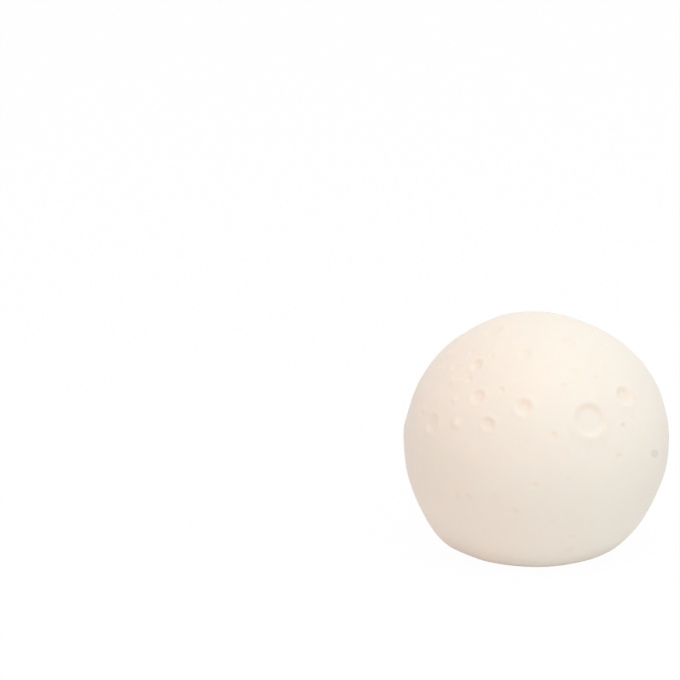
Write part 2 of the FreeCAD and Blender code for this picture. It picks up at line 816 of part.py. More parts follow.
def slide_switch():
    """The slide switch on the board's underside: case, pins and lever, the lever at its off end."""
    blank = box(
        "switch_blank",
        size.switch_length,
        size.switch_width,
        size.switch_height,
        0,
        switch_y,
        switch_bottom,
    )
    gap = 2 * size.lever_gap
    mouth = box(
        "switch_mouth",
        size.lever_side + size.travel + 2 * size.stroke_gap,
        size.lever_side + gap,
        size.lever_root + size.lever_gap,
        0,
        switch_y,
        switch_bottom,
    )
    case = cut("switch_case", blank, mouth)
    pins = [
        box(f"pin_{i}", size.pin_side, size.pin_side, pin_top - board_bottom, x, y, board_bottom)
        for i, (x, y) in enumerate(lead_holes()[1])
    ]
    lever = box(
        "switch_lever",
        size.lever_side,
        size.lever_side,
        switch_bottom + size.lever_root - lever_bottom,
        -size.travel / 2,
        switch_y,
        lever_bottom,
    )
    return case, group("switch_terminals", *pins), lever


def switch_knob():
    """The sliding knob: a finger part through the slot, a plate above it and a fork for the lever."""
    knob = Moulding("switch_knob")
    x = -size.travel / 2
    bottom = size.flange_lift + size.knob_recess
    sketch = knob.sketch(bottom)
    rectangle(sketch, size.knob_length, size.knob_width, x, switch_y)
    knob.pad(sketch, slider_top - bottom)
    sketch = knob.sketch(slider_bottom)
    rectangle(sketch, size.slider_length, size.slider_width, x, switch_y)
    knob.pad(sketch, size.slider_thickness)
    socket = size.lever_side + 2 * size.lever_gap
    outer = socket + 2 * size.fork_wall
    sketch = knob.sketch(slider_top)
    rectangle(sketch, outer, outer, x, switch_y)
    knob.pad(sketch, size.fork_height)
    sketch = knob.sketch(slider_top)
    rectangle(sketch, socket, socket, x, switch_y)
    knob.pocket(sketch, size.fork_height)
    sketch = knob.sketch(bottom)
    groove = size.knob_length / GRIP_STRIPES
    for step in (-2, 0, 2):
        rectangle(sketch, groove, size.knob_width, x + groove * step, switch_y)
    knob.pocket(sketch, size.knob_recess)
    return knob.body


def button_cell(index):
    """One cell: the can and its cap. The middle cell stands the other way up."""
    name = f"button_cell_{index + 1}"
    x, y = cell_place(index)
    cap_down = index == 1
    can_height = size.cell_height - size.cap_height
    can_bottom = cell_bottom + size.cap_height if cap_down else cell_bottom
    cap_bottom = cell_bottom if cap_down else cell_bottom + can_height
    can = cylinder(f"{name}_can", size.cell_radius, can_height, x, y, can_bottom)
    cap = cylinder(f"{name}_cap", size.cap_radius, size.cap_height, x, y, cap_bottom)
    return fuse(name, can, cap)


def contact_negative():
    """The contact over cell 1: a strip under the roof, a dimple and a solder tab to the board."""
    x, y = cell_place(0)
    tab_x, tab_y = tab_place()
    turn = CELL_ANGLES[0]
    thin = size.contact_thickness
    strip_z = roof - thin
    length = 2 * size.contact_width + thin
    strip = box("negative_strip", length, size.contact_width, thin, x, y, strip_z, turn)
    dimple = cylinder("negative_dimple", size.dimple_radius, size.dimple_height, x, y, cell_top)
    tab = box("negative_tab", thin, size.tab_width, pin_top - strip_z, tab_x, tab_y, strip_z, turn)
    return fuse("contact_negative", strip, dimple, tab)


def contact_bridge():
    """The strip under the roof that joins cells 2 and 3."""
    x, y, length, turn = between_cells(1, 2)
    thin = size.contact_thickness
    strip = box(
        "bridge_strip", length + size.contact_width, size.contact_width, thin, x, y, roof - thin, turn
    )
    dimples = [
        cylinder(f"bridge_dimple_{i}", size.dimple_radius, size.dimple_height, *cell_place(i), cell_top)
        for i in (1, 2)
    ]
    return fuse("contact_bridge", strip, *dimples)


def contact_positive():
    """The leaf beside cell 3, which touches its can and rises through the board."""
    x, y = leaf_place()
    bottom = cell_bottom + size.tab_gap
    return box(
        "contact_positive",
        size.contact_thickness,
        size.tab_width,
        pin_top - bottom,
        x,
        y,
        bottom,
        CELL_ANGLES[2] + 60,
    )


def door_contact():
    """The strip on the battery door that joins cells 1 and 2."""
    x, y, length, turn = between_cells(0, 1)
    thin = size.contact_thickness
    strip = box("door_strip", length + size.contact_width, size.contact_width, thin, x, y, seat, turn)
    dimples = [
        cylinder(f"door_dimple_{i}", size.dimple_radius, size.dimple_height, *cell_place(i), seat + thin)
        for i in (0, 1)
    ]
    return fuse("door_contact", strip, *dimples)


def battery_door():
    """The door: a rounded triangle with a hub and a well for its screw, and a pad under cell 3."""
    door = Moulding("battery_door")
    bottom = size.flange_lift
    sketch = door.sketch(bottom)
    cell_triangle(sketch, door_corner)
    door.pad(sketch, size.flange_thickness)
    sketch = door.sketch(seat)
    circle(sketch, size.hub_radius)
    door.pad(sketch, size.hub_height)
    sketch = door.sketch(seat)
    circle(sketch, size.contact_width, *cell_place(2))
    door.pad(sketch, cell_bottom - seat)
    sketch = door.sketch(bottom)
    circle(sketch, size.well_radius)
    door.pocket(sketch, size.well_depth)
    sketch = door.sketch(bottom)
    circle(sketch, pilot_radius)
    door.pocket(sketch, size.flange_thickness + size.hub_height)
    return door.body


def cross_recess(name, x, y, z):
    """The cross that a screwdriver turns, as a tool to cut."""
    arms = [
        box(f"{name}_{turn}", size.cross_length, size.cross_width, size.cross_depth, x, y, z, turn)
        for turn in (0, 90)
    ]
    return fuse(name, *arms)


def door_screw():
    """The captive screw: its head lies in the door's well and its shank points up."""
    head_seat = size.flange_lift + size.well_depth
    head_bottom = head_seat - size.head_height
    head = cylinder("door_screw_head", size.head_radius, size.head_height, 0, 0, head_bottom)
    shank = cylinder("door_screw_shank", size.screw_radius, size.screw_length, 0, 0, head_seat)
    blank = fuse("door_screw_blank", head, shank)
    return cut("door_screw", blank, cross_recess("door_screw_recess", 0, 0, head_bottom))


def screw_retainer():
    """The ring above the door's hub that keeps the screw in the door."""
    bottom = seat + size.hub_height + size.screw_gap
    ring = cylinder("retainer_ring", size.ring_radius, size.ring_height, 0, 0, bottom)
    bore = cylinder("retainer_bore", size.screw_radius, size.ring_height, 0, 0, bottom)
    return cut("screw_retainer", ring, bore)


def build():
    """Every node by its name."""
    nodes = {}
    nodes["moon_shade"] = moon_shade()
    nodes["base_housing"] = base_housing()
    nodes["housing_cover"] = housing_cover()
    nodes["cover_screws"] = cover_screws()
    nodes["circuit_board"] = circuit_board()
    nodes["board_screws"] = board_screws()
    nodes["led_lens"] = led_lens()
    nodes["led_leads"] = led_leads()
    nodes["resistor_body"], nodes["resistor_leads"] = resistor()
    nodes["switch_case"], nodes["switch_terminals"], nodes["switch_lever"] = slide_switch()
    nodes["switch_knob"] = switch_knob()
    for index in range(len(CELL_ANGLES)):
        nodes[f"button_cell_{index + 1}"] = button_cell(index)
    nodes["contact_negative"] = contact_negative()
    nodes["contact_bridge"] = contact_bridge()
    nodes["contact_positive"] = contact_positive()
    nodes["door_contact"] = door_contact()
    nodes["battery_door"] = battery_door()
    nodes["door_screw"] = door_screw()
    nodes["screw_retainer"] = screw_retainer()
    return nodes


def check_and_write(nodes):
    """Label each node, check that nothing failed, and write one file for each."""
    for name, item in nodes.items():
        for other in DOC.Objects:
            if other is not item and other.Label == name:
                other.Label = f"{name}_body"
        item.Label = name
    DOC.recompute()
    for item in DOC.Objects:
        if "Invalid" in item.State or "Error" in item.State:
            raise RuntimeError(f"{item.Label} failed: {item.State}")
    os.makedirs("parts", exist_ok=True)
    for name, item in nodes.items():
        shape = item.Shape
        if shape.isNull() or not shape.isValid() or not shape.Solids:
            raise RuntimeError(f"{name} has no valid solid")
        shape.exportStep(f"parts/{name}.step")
        print(f"{name}: {len(shape.Solids)} solids, {shape.Volume:.1f} cubic millimetres")


check_and_write(build())
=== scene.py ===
"""Looks of the moon lamp: the cratered vinyl ball and everything in and under it."""
import json
import math
import random

import bmesh
import bpy
from bpy.props import FloatProperty, FloatVectorProperty, IntProperty, PointerProperty
from mathutils import Matrix, Vector


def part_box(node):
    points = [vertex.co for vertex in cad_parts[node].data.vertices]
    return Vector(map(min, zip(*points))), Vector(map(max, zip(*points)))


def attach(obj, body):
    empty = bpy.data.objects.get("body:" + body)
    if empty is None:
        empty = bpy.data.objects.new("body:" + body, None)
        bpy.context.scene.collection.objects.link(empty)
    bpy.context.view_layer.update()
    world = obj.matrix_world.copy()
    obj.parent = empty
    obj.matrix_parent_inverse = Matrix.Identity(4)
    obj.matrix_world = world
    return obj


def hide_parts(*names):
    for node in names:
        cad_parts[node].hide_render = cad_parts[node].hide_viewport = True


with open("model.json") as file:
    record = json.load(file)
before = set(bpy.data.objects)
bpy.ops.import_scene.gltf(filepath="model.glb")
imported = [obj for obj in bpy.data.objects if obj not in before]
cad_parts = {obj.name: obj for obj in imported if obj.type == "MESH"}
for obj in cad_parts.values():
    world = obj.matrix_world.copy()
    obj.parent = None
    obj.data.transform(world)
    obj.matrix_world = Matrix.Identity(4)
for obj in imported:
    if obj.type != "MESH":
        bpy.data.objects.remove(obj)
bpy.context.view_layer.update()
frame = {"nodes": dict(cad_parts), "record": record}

bl_info = {
    "name": "Moon Lamp Looks",
    "version": (1, 0, 0),
    "blender": (4, 5, 0),
    "location": "View3D > Sidebar > Moon Lamp",
    "description": "Dresses the packed moon lamp: vinyl ball, light module, board, cells and screws",
    "category": "Object",
}

MM = 0.001
SHADE_LOW, SHADE_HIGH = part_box("moon_shade")
HOUSING_LOW, HOUSING_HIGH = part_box("base_housing")

# The ball: it hangs from its top, and the recess clears the module's flange.
SPHERE_RADIUS = 50 * MM
FLANGE_GAP = 0.3 * MM
FLANGE_THICKNESS = 1.4 * MM
LIP_THICKNESS = 2.6 * MM
NECK_RADIUS = 21 * MM
BALL_RADIUS = min(SHADE_HIGH.x - SHADE_LOW.x, SHADE_HIGH.y - SHADE_LOW.y) / 2
BALL_CENTRE = Vector((0, 0, SHADE_HIGH.z - SPHERE_RADIUS))
RECESS_RADIUS = HOUSING_HIGH.x + FLANGE_GAP
RECESS_HEIGHT = HOUSING_LOW.z + FLANGE_THICKNESS
LIP_TOP = RECESS_HEIGHT + LIP_THICKNESS

# Facets: down the ball's outside, up its inside, round the ball, and round a small turned part.
OUTSIDE_STEPS = 168
INSIDE_STEPS = 26
BALL_FACETS = 400
SMALL_FACETS = 32
# Where faces meet at more than this many degrees, the edge between them is sharp.
SHARP_ANGLE = 35
BALL_SHARP_ANGLE = 40
# Points closer than this, in metres, are one.
WELD = 1e-6

# The board, and in mm where its joints, lines and printed marks lie. The pins of the switch stand
# in a row across the front, the leads of the LED on either side of the middle, and the tabs of two
# battery contacts come up through their slots.
BOARD_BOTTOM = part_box("circuit_board")[0].z
BOARD_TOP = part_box("circuit_board")[1].z
SWITCH_ROW = -16.4
LED_LEAD = 1.27
NEGATIVE_TAB = (0, 13.8)
POSITIVE_TAB = (13.64, -1.93)
JOINTS_ON_TOP = ((-2, SWITCH_ROW), (0, SWITCH_ROW), (2, SWITCH_ROW), NEGATIVE_TAB, POSITIVE_TAB)
JOINTS_UNDER = ((-LED_LEAD, 0), (LED_LEAD, 0), (8, -3.3), (8, 3.3))
BOARD_LINES = (
    (NEGATIVE_TAB, (-6, 6)),
    ((-6, 6), (-LED_LEAD, 0)),
    ((LED_LEAD, 0), (5, 3.3)),
    ((5, 3.3), (8, 3.3)),
    ((8, -3.3), (0, -12.5)),
    ((0, -12.5), (0, SWITCH_ROW)),
    (POSITIVE_TAB, (9, -13)),
    ((9, -13), (2, SWITCH_ROW)),
)
BOARD_PRINT = (
    ((6.8, -2.1), (9.2, -2.1)),
    ((9.2, -2.1), (9.2, 2.1)),
    ((9.2, 2.1), (6.8, 2.1)),
    ((6.8, 2.1), (6.8, -2.1)),
    ((-3.4, -1.6), (-3.4, 1.6)),
    ((3.4, -1.6), (3.4, 1.6)),
)
# Bands of the resistor: place along its body in mm, colour.
RESISTOR_BANDS = (
    (-1.25, (0.24, 0.09, 0.03)),
    (-0.5, (0.02, 0.02, 0.02)),
    (0.25, (0.24, 0.09, 0.03)),
    (1.25, (0.55, 0.36, 0.08)),
)
# Words beside the knob, in the row of the switch: their places along it and their relief in mm.
LEGENDS = (("OFF", -9.5), ("ON", 8.5))
LEGEND_RELIEF = 0.12

# Circles about the lamp's axis on which cells and screws stand: radius in mm, angles in degrees.
CELL_CIRCLE = 9.8
CELL_ANGLES = (90, 210, 330)
LID_SCREW_CIRCLE = 17.5
BOARD_SCREW_CIRCLE = 15.6
BOARD_SCREW_ANGLES = (30, 150)
# Screws in mm: radius and height of the head, radius and length of the shank.
SMALL_SCREW = (1.8, 1.1, 0.9, 6.0)
DOOR_SCREW = (2.05, 0.9, 1.15, 5.9)
# Crosses cut into their heads and into the cells' cans, in mm: length, width and depth.
SMALL_CROSS = (2.1, 0.5, 0.55)
DOOR_CROSS = (2.4, 0.6, 0.5)
PLUS_SIGN = (3.2, 0.7, 0.25)

# Craters that the front shows: longitude, latitude, width in mm, share of the usual depth.
FRONT_CRATERS = (
    (25.6, 25.3, 13.1, 0.54),
    (50, 32, 8.2, 0.7),
    (-6.2, 32.2, 7.0, 0.68),
    (-31.6, 34.9, 6.1, 0.62),
    (-22.7, 23.9, 5.7, 0.64),
    (-19.5, 39.4, 2.8, 0.7),
    (-42.5, 49.2, 5.6, 0.72),
    (-41.5, 42, 3.2, 0.6),
    (-9, 58, 5.8, 0.4),
    (33.5, 64, 5.6, 0.4),
    (53, 70, 3.8, 0.25),
    (24, 47, 4.2, 0.4),
    (37, 43, 2.8, 0.4),
    (15, 41.2, 3.0, 0.35),
    (68, 56, 6.0, 0.25),
    (-61, 69, 7.9, 0.25),
    (43, 20, 2.8, 1.2),
    (7.6, 20.2, 3.3, 0.45),
    (-55, 19, 8.2, 0.4),
    (38, 7.4, 3.8, 0.4),
    (12.5, 1, 3.3, 0.3),
    (11, 12, 6.0, 0.15),
    (-1, -1, 3.6, 0.4),
    (-10, -13.5, 4.3, 0.4),
    (-19, -8, 5.2, 0.25),
    (-31, -9, 3.8, 0.45),
    (-36.5, -9, 2.6, 0.8),
    (16, -28, 4.5, 0.35),
    (17, -36, 4.9, 0.45),
    (2.7, -7.5, 3.6, 0.2),
    (-40, -17, 3.8, 0.25),
    (24, -22, 3.4, 0.15),
    (-44, 6, 1.9, 0.5),
    (51, 22, 1.6, 0.5),
    (58.5, 16.4, 1.8, 0.5),
    (-26, -42, 4.6, 0.25),
    (-35, 55, 3.0, 0.3),
    (-55, 54, 3.0, 0.4),
    (-58, 45, 3.4, 0.3),
)
# The larger craters of the back, with the same columns, and how many small ones lie between them.
BACK_CRATERS = (
    (112, 18, 7.8, 1.0),
    (160, 40, 12.8, 1.0),
    (-150, 12, 7.8, 1.0),
    (-112, 38, 6.0, 1.0),
    (140, -20, 6.0, 1.0),
    (-118, -16, 4.4, 1.0),
    (-165, 62, 6.0, 1.0),
    (108, -28, 4.4, 0.4),
    (-160, -28, 6.0, 1.0),
)
SMALL_BACK_CRATERS = 46
# The side of each crater, up and to the right, whose wall turns from the light and gets painted shade,
# and how strong that painted shade is.
SHADED_CRATER_SIDE = (0.62, 0.0, 0.78)
CRATER_SHADE_STRENGTH = 0.48
# Where the soft ball is out of round: longitude, latitude, width in mm, height in mm.
SWELLS = (
    (98, 26, 46, 0.5),
    (127, 63, 40, -0.75),
    (-144, 69, 34, 0.15),
    (-108, 45, 30, 0.2),
    (-92, 6, 16, 0.4),
    (-74, -42, 34, 1.0),
    (80, -29, 62, -1.0),
    (48, -50, 46, -0.9),
    (-39, 22, 6, 0.4),
    (-57, 31, 8, 0.35),
    (-48, 40, 9, 0.35),
    (-62, 44, 3.8, 0.55),
    (-52.7, 38.7, 4.0, 0.55),
    (-40, 21.6, 4.2, 0.38),
    (-45, 31.5, 4.0, 0.45),
    (-65, 23, 4.8, 0.35),
    (-77, 48, 5.2, 0.35),
    (-12, 68, 12, 0.2),
    (8, 76, 16, 0.2),
    (30, 33, 16, 0.25),
)
# A small mark of the mould at the right: longitude, latitude, width in mm, the degrees from above
# at which it looks round, and how strong it is.
MOULD_MARK = (61.5, 3.7, 2.7)
MARK_TILT = 15.4
MARK_STRENGTH = 0.3

# The photograph's camera: place in mm, then yaw, pitch and roll in degrees.
CAMERA_PLACE = (0, -1463.5, 484.9)
CAMERA_TURNS = (2.882, -15.419, -0.9)
# The soft light and the floor in metres.
KEY_PLACE = (0.2, -0.45, 1.23)
KEY_WIDTH = 0.8
FLOOR_HALF = 3.0
# The share of the floor that glows: for every ray, and more for rays that see the stage itself.
FLOOR_GLOW = 0.17
SEEN_GLOW = 0.8


class Wire:
    """An output of a node. Sums with it add Math nodes, so that a rule reads as on paper."""

    def __init__(self, tree, socket):
        self.tree = tree
        self.socket = socket

    def __add__(self, other):
        return self.tree.maths("ADD", self, other)

    def __radd__(self, other):
        return self.tree.maths("ADD", other, self)

    def __sub__(self, other):
        return self.tree.maths("SUBTRACT", self, other)

    def __rsub__(self, other):
        return self.tree.maths("SUBTRACT", other, self)

    def __mul__(self, other):
        return self.tree.maths("MULTIPLY", self, other)

    def __rmul__(self, other):
        return self.tree.maths("MULTIPLY", self, other)

    def __truediv__(self, other):
        return self.tree.maths("DIVIDE", self, other)

    def is_vector(self):
        return self.socket.type == "VECTOR"


class Made:
    """A node that was added. Its outputs are read by name or number."""

    def __init__(self, tree, node):
        self.tree = tree
        self.node = node

    def __getitem__(self, name):
        return Wire(self.tree, find_socket(self.node.outputs, name))


def find_socket(sockets, name):
    """A socket by its number, or by its name among those in use."""
    if isinstance(name, int):
        return sockets[name]
    return next(s for s in sockets if s.name == name and s.enabled)


class Tree:
    """A node tree that is written as Python expressions."""

    def __init__(self, node_tree):
        self.tree = node_tree
        self.tree.nodes.clear()

    def node(self, kind, inputs=None, **settings):
        """Add a node: its settings first, then the values or links of its inputs."""
        node = self.tree.nodes.new(kind)
        for name, value in settings.items():
            setattr(node, name, value)
        for name, value in (inputs or {}).items():
            socket = find_socket(node.inputs, name)
            if isinstance(value, Wire):
                self.tree.links.new(value.socket, socket)
            else:
                socket.default_value = value
        return Made(self, node)

    def maths(self, operation, a, b):
        """A Math node, or a Vector Math node where one side is a vector."""
        vectors = [isinstance(n, Wire) and n.is_vector() for n in (a, b)]
        if not any(vectors):
            return self.node("ShaderNodeMath", {0: a, 1: b}, operation=operation)[0]
        if operation == "MULTIPLY" and not all(vectors):
            vector, scale = (a, b) if vectors[0] else (b, a)
            return self.node("ShaderNodeVectorMath", {0: vector, "Scale": scale}, operation="SCALE")[0]
        return self.vector(operation, a, b)

    def vector(self, operation, *values):
        """What a Vector Math node makes of vectors: a vector, or a number for a distance or product."""
        made = self.node("ShaderNodeVectorMath", dict(enumerate(values)), operation=operation)
        return made["Value" if operation in ("DISTANCE", "DOT_PRODUCT") else "Vector"]

    def ease(self, value, start, end):
        """A smooth step that is 0 at start and 1 at end."""
        inputs = {"Value": value, "From Min": start, "From Max": end}
        return self.node("ShaderNodeMapRange", inputs, interpolation_type="SMOOTHSTEP")[0]

    def mix(self, share, a, b):
        """A colour between a and b."""
        a, b = (n if isinstance(n, Wire) else (*n, 1.0) for n in (a, b))
        inputs = {"Factor": share, "A": a, "B": b}
        return self.node("ShaderNodeMix", inputs, data_type="RGBA")["Result"]

    def noise(self, place, size, detail, roughness=0.5):
        """Noise whose lumps are about size metres apart."""
        inputs = {"Vector": place, "Scale": 1 / size, "Detail": detail, "Roughness": roughness}
        return self.node("ShaderNodeTexNoise", inputs)[0]


class Finish(Tree):
    """The tree of one material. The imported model's material of that name gives the name up."""

    def __init__(self, name):
        plain = bpy.data.materials.get(name)
        if plain:
            plain.name = f"{name}_plain"
        self.material = bpy.data.materials.new(name)
        self.material.use_nodes = True
        super().__init__(self.material.node_tree)
        self.place = self.node("ShaderNodeTexCoord")["Object"]

    def along(self, axis):
        """One coordinate of the place on the object."""
        return self.node("ShaderNodeSeparateXYZ", {0: self.place})[axis]

    def attribute(self, name):
        """A number stored on the piece's own mesh."""
        return self.node("ShaderNodeAttribute", attribute_name=name)["Fac"]

    def bump(self, height, depth, strength):
        """A normal from a height of 0 to 1 that stands for depth metres."""
        inputs = {"Height": height, "Distance": depth, "Strength": strength}
        return self.node("ShaderNodeBump", inputs)["Normal"]

    def surface(self, inputs):
        """The shader and the end of the tree."""
        shader = self.node("ShaderNodeBsdfPrincipled", inputs)["BSDF"]
        self.node("ShaderNodeOutputMaterial", {"Surface": shader})
        return self.material


class Shaper(Tree):
    """A Geometry Nodes tree whose sizes and objects are named inputs."""

    def __init__(self, name, sizes, objects):
        tree = bpy.data.node_groups.new(name, "GeometryNodeTree")
        super().__init__(tree)
        self.values = {}
        add = tree.interface.new_socket
        add("Geometry", in_out="INPUT", socket_type="NodeSocketGeometry")
        add("Geometry", in_out="OUTPUT", socket_type="NodeSocketGeometry")
        for kind, inputs in (("NodeSocketFloat", sizes), ("NodeSocketObject", objects)):
            for label, value in inputs.items():
                self.values[add(label, in_out="INPUT", socket_type=kind).identifier] = value
        add("Material", in_out="INPUT", socket_type="NodeSocketMaterial")
        self.given = self.node("NodeGroupInput")

    def attribute(self, name):
        """A number stored on the mesh."""
        return self.node("GeometryNodeInputNamedAttribute", {"Name": name})["Attribute"]

    def store(self, geometry, name, value):
        """Keep a number on the mesh."""
        inputs = {"Geometry": geometry, "Name": name, "Value": value}
        return self.node("GeometryNodeStoreNamedAttribute", inputs, data_type="FLOAT")["Geometry"]

    def end(self, geometry):
        """Realize what is repeated and give it its material."""
        real = self.node("GeometryNodeRealizeInstances", {"Geometry": geometry})["Geometry"]
        painted = self.node(
            "GeometryNodeSetMaterial", {"Geometry": real, "Material": self.given["Material"]}
        )["Geometry"]
        self.node("NodeGroupOutput", {"Geometry": painted})

    def grow(self, name, mesh, material):
        """Run the tree on a mesh and keep the result as a plain piece."""
        seed = bpy.data.objects.new(f"{name}_seed", mesh)
        bpy.context.scene.collection.objects.link(seed)
        modifier = seed.modifiers.new("shape", "NODES")
        modifier.node_group = self.tree
        for identifier, value in self.values.items():
            modifier[identifier] = value
        paint = self.tree.interface.items_tree["Material"].identifier
        modifier[paint] = material
        evaluated = seed.evaluated_get(bpy.context.evaluated_depsgraph_get())
        result = bpy.data.meshes.new_from_object(evaluated)
        bpy.data.objects.remove(seed)
        return piece(name, result, material)


def piece(name, mesh, material):
    """An object at the origin with a mesh and one material."""
    mesh.name = name
    if not mesh.materials:
        mesh.materials.append(material)
    made = bpy.data.objects.new(name, mesh)
    bpy.context.scene.collection.objects.link(made)
    return made


def settle(made, body, slot, *nodes):
    """Say which body carries a piece and which nodes it stands for, and hide those nodes. What it is
    made of (slot) is not used.
    """
    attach(made, body)
    if nodes:
        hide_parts(*nodes)


def arc(centre, radius, start, end, steps):
    """Points (x, z) of an arc. The angles are in degrees from the x axis, towards z."""
    angles = [math.radians(start + (end - start) * i / steps) for i in range(steps + 1)]
    return [(centre[0] + radius * math.cos(a), centre[1] + radius * math.sin(a)) for a in angles]


def turned_mesh(name, section, steps, weights=None):
    """A closed section (x, z) turned about the upright axis. It starts and ends on the axis."""
    form = bmesh.new()
    layer = form.verts.layers.float.new("weight") if weights else None
    rings = []
    for index, (x, z) in enumerate(section):
        on_axis = x < WELD / 10
        turns = [0] if on_axis else [math.tau * i / steps for i in range(steps)]
        ring = [form.verts.new((x * math.cos(t), x * math.sin(t), z)) for t in turns]
        if weights:
            for vertex in ring:
                vertex[layer] = weights[index]
        rings.append(ring)
    for upper, lower in zip(rings, rings[1:]):
        for i in range(steps):
            corners = [upper[i % len(upper)], lower[i % len(lower)]]
            corners += [lower[(i + 1) % len(lower)], upper[(i + 1) % len(upper)]]
            form.faces.new(dict.fromkeys(corners))
    if form.calc_volume(signed=True) < 0:
        bmesh.ops.reverse_faces(form, faces=form.faces)
    mesh = bpy.data.meshes.new(name)
    form.to_mesh(mesh)
    form.free()
    return mesh


def smooth(mesh, degrees=SHARP_ANGLE):
    """Smooth shading with sharp edges where faces meet at more than an angle."""
    mesh.shade_smooth()
    mesh.set_sharp_from_angle(angle=math.radians(degrees))


def direction(longitude, latitude):
    """A unit vector from the ball's middle. Longitude 0 is the front, and it grows to the right."""
    east, north = math.radians(longitude), math.radians(latitude)
    flat = math.cos(north)
    return Vector((flat * math.sin(east), -flat * math.cos(east), math.sin(north)))


def colour_setting(name, description, default):
    """A colour that a user may change."""
    return FloatVectorProperty(name=name, description=description, subtype="COLOR", default=default)


def length_setting(name, description, default):
    """A length in metres that a user may change."""
    return FloatProperty(name=name, description=description, unit="LENGTH", default=default)


class ShadeSettings(bpy.types.PropertyGroup):
    """Sizes and colours of the vinyl ball."""

    wall: length_setting("Wall", "Thickness of the vinyl", 2.8 * MM)
    foot_round: length_setting("Foot rounding", "Rounding above the resting ring", 14 * MM)
    floor_share: FloatProperty(
        name="Crater floor", description="Flat share of a narrow crater", default=0.36, min=0.1, max=0.9
    )
    relief: length_setting("Relief", "Height of the irregular skin", 0.34 * MM)
    seed: IntProperty(name="Seed", description="Small craters at the back", default=7)
    # The vinyl goes from cream on the right to a warmer colour on the left: painted warm bounce light
    # and shade on the left side.
    cream: colour_setting("Cream", "Vinyl at the right", (0.876, 0.818, 0.732))
    painted_bounce_colour: colour_setting("Blush", "Vinyl at the left", (0.9, 0.772, 0.672))
    # Painted shade: the colour put on the walls of the craters that turn from the light.
    crater_shade_colour: colour_setting("Apricot", "Vinyl in the craters", (0.96, 0.68, 0.50))
    grey: colour_setting("Grey", "Mark of the mould", (0.55, 0.50, 0.43))


class PartSettings(bpy.types.PropertyGroup):
    """Colours and small sizes of everything in and under the ball."""

    housing: colour_setting("Housing", "Plastic of the module", (0.83, 0.82, 0.78))
    knob: colour_setting("Knob", "Plastic of the knob", (0.035, 0.035, 0.038))
    mask: colour_setting("Solder mask", "Colour of the board", (0.03, 0.19, 0.08))
    steel: colour_setting("Steel", "Screws and cells", (0.66, 0.65, 0.64))
    nickel: colour_setting("Nickel", "Battery contacts", (0.72, 0.70, 0.66))
    tin: colour_setting("Tin", "Leads and solder", (0.76, 0.77, 0.78))
    rounding: length_setting("Edges", "Rounding of moulded edges", 0.2 * MM)
    pitch: FloatProperty(
        name="Pitch", description="Pitch of the screws' thread in mm", default=0.75, min=0.3
    )
    thread: FloatProperty(name="Thread", description="Depth of the thread in mm", default=0.2, min=0)
    legend: length_setting("Legend", "Height of the letters", 1.9 * MM)


class StageSettings(bpy.types.PropertyGroup):
    """Camera, floor and light."""

    lens: FloatProperty(name="Lens", description="Focal length in mm", default=214.0)
    key_power: FloatProperty(
        name="Key", description="Soft light from the front", default=6.6, subtype="POWER"
    )
    sky: FloatProperty(name="Sky", description="Light from all round", default=0.72, min=0)
    floor: colour_setting("Floor", "Pale floor", (0.92, 0.92, 0.92))


def vinyl(settings):
    """Soft matte vinyl with a fine skin, painted with warm bounce light and shade on the left and with
    painted shade on one side inside each crater.
    """
    finish = Finish("vinyl")
    # Painted light: towards the left the vinyl turns warmer and a little darker, standing in for warm
    # bounce light and shade there.
    side = finish.ease(finish.along("X") / BALL_RADIUS, -0.95, 0.65)
    mottle = finish.noise(finish.place, 12 * MM, 3.0)
    hollow = finish.attribute("hollow")
    skin = finish.noise(finish.place, 0.7 * MM, 4.0, 0.6)
    colour = finish.mix(side + 0.4 * mottle - 0.2, settings.painted_bounce_colour, settings.cream)
    # Painted shade on the crater walls that turn from the light.
    colour = finish.mix(hollow * CRATER_SHADE_STRENGTH, colour, settings.crater_shade_colour)
    colour = finish.mix(mould_mark(finish) * MARK_STRENGTH, colour, settings.grey)
    return finish.surface({
        "Base Color": colour,
        "Roughness": 0.52 + 0.16 * skin,
        "IOR": 1.45,
        "Subsurface Weight": 0.45,
        "Subsurface Radius": (1.0, 0.62, 0.42),
        "Subsurface Scale": 1.4 * MM,
        "Normal": finish.bump(skin, 0.03 * MM, 0.6),
    })


def mould_mark(finish):
    """1 on a small round mark of the mould, near its edge, and less in its middle."""
    longitude, latitude, width = MOULD_MARK
    middle = BALL_CENTRE + BALL_RADIUS * direction(longitude, latitude)
    tilt = math.radians(MARK_TILT)
    across = finish.place - tuple(middle)
    rise = finish.vector("DOT_PRODUCT", across, (0, math.sin(tilt), math.cos(tilt)))
    side = finish.node("ShaderNodeSeparateXYZ", {0: across})["X"]
    away = finish.maths("SQRT", side * side + rise * rise, 0.0)
    reach = away / (width * MM / 2)
    front = finish.ease(finish.along("Y"), 0.0, -1.0 * MM)
    return finish.ease(reach, -0.6, 0.75) * (1 - finish.ease(reach, 0.75, 1.4)) * front


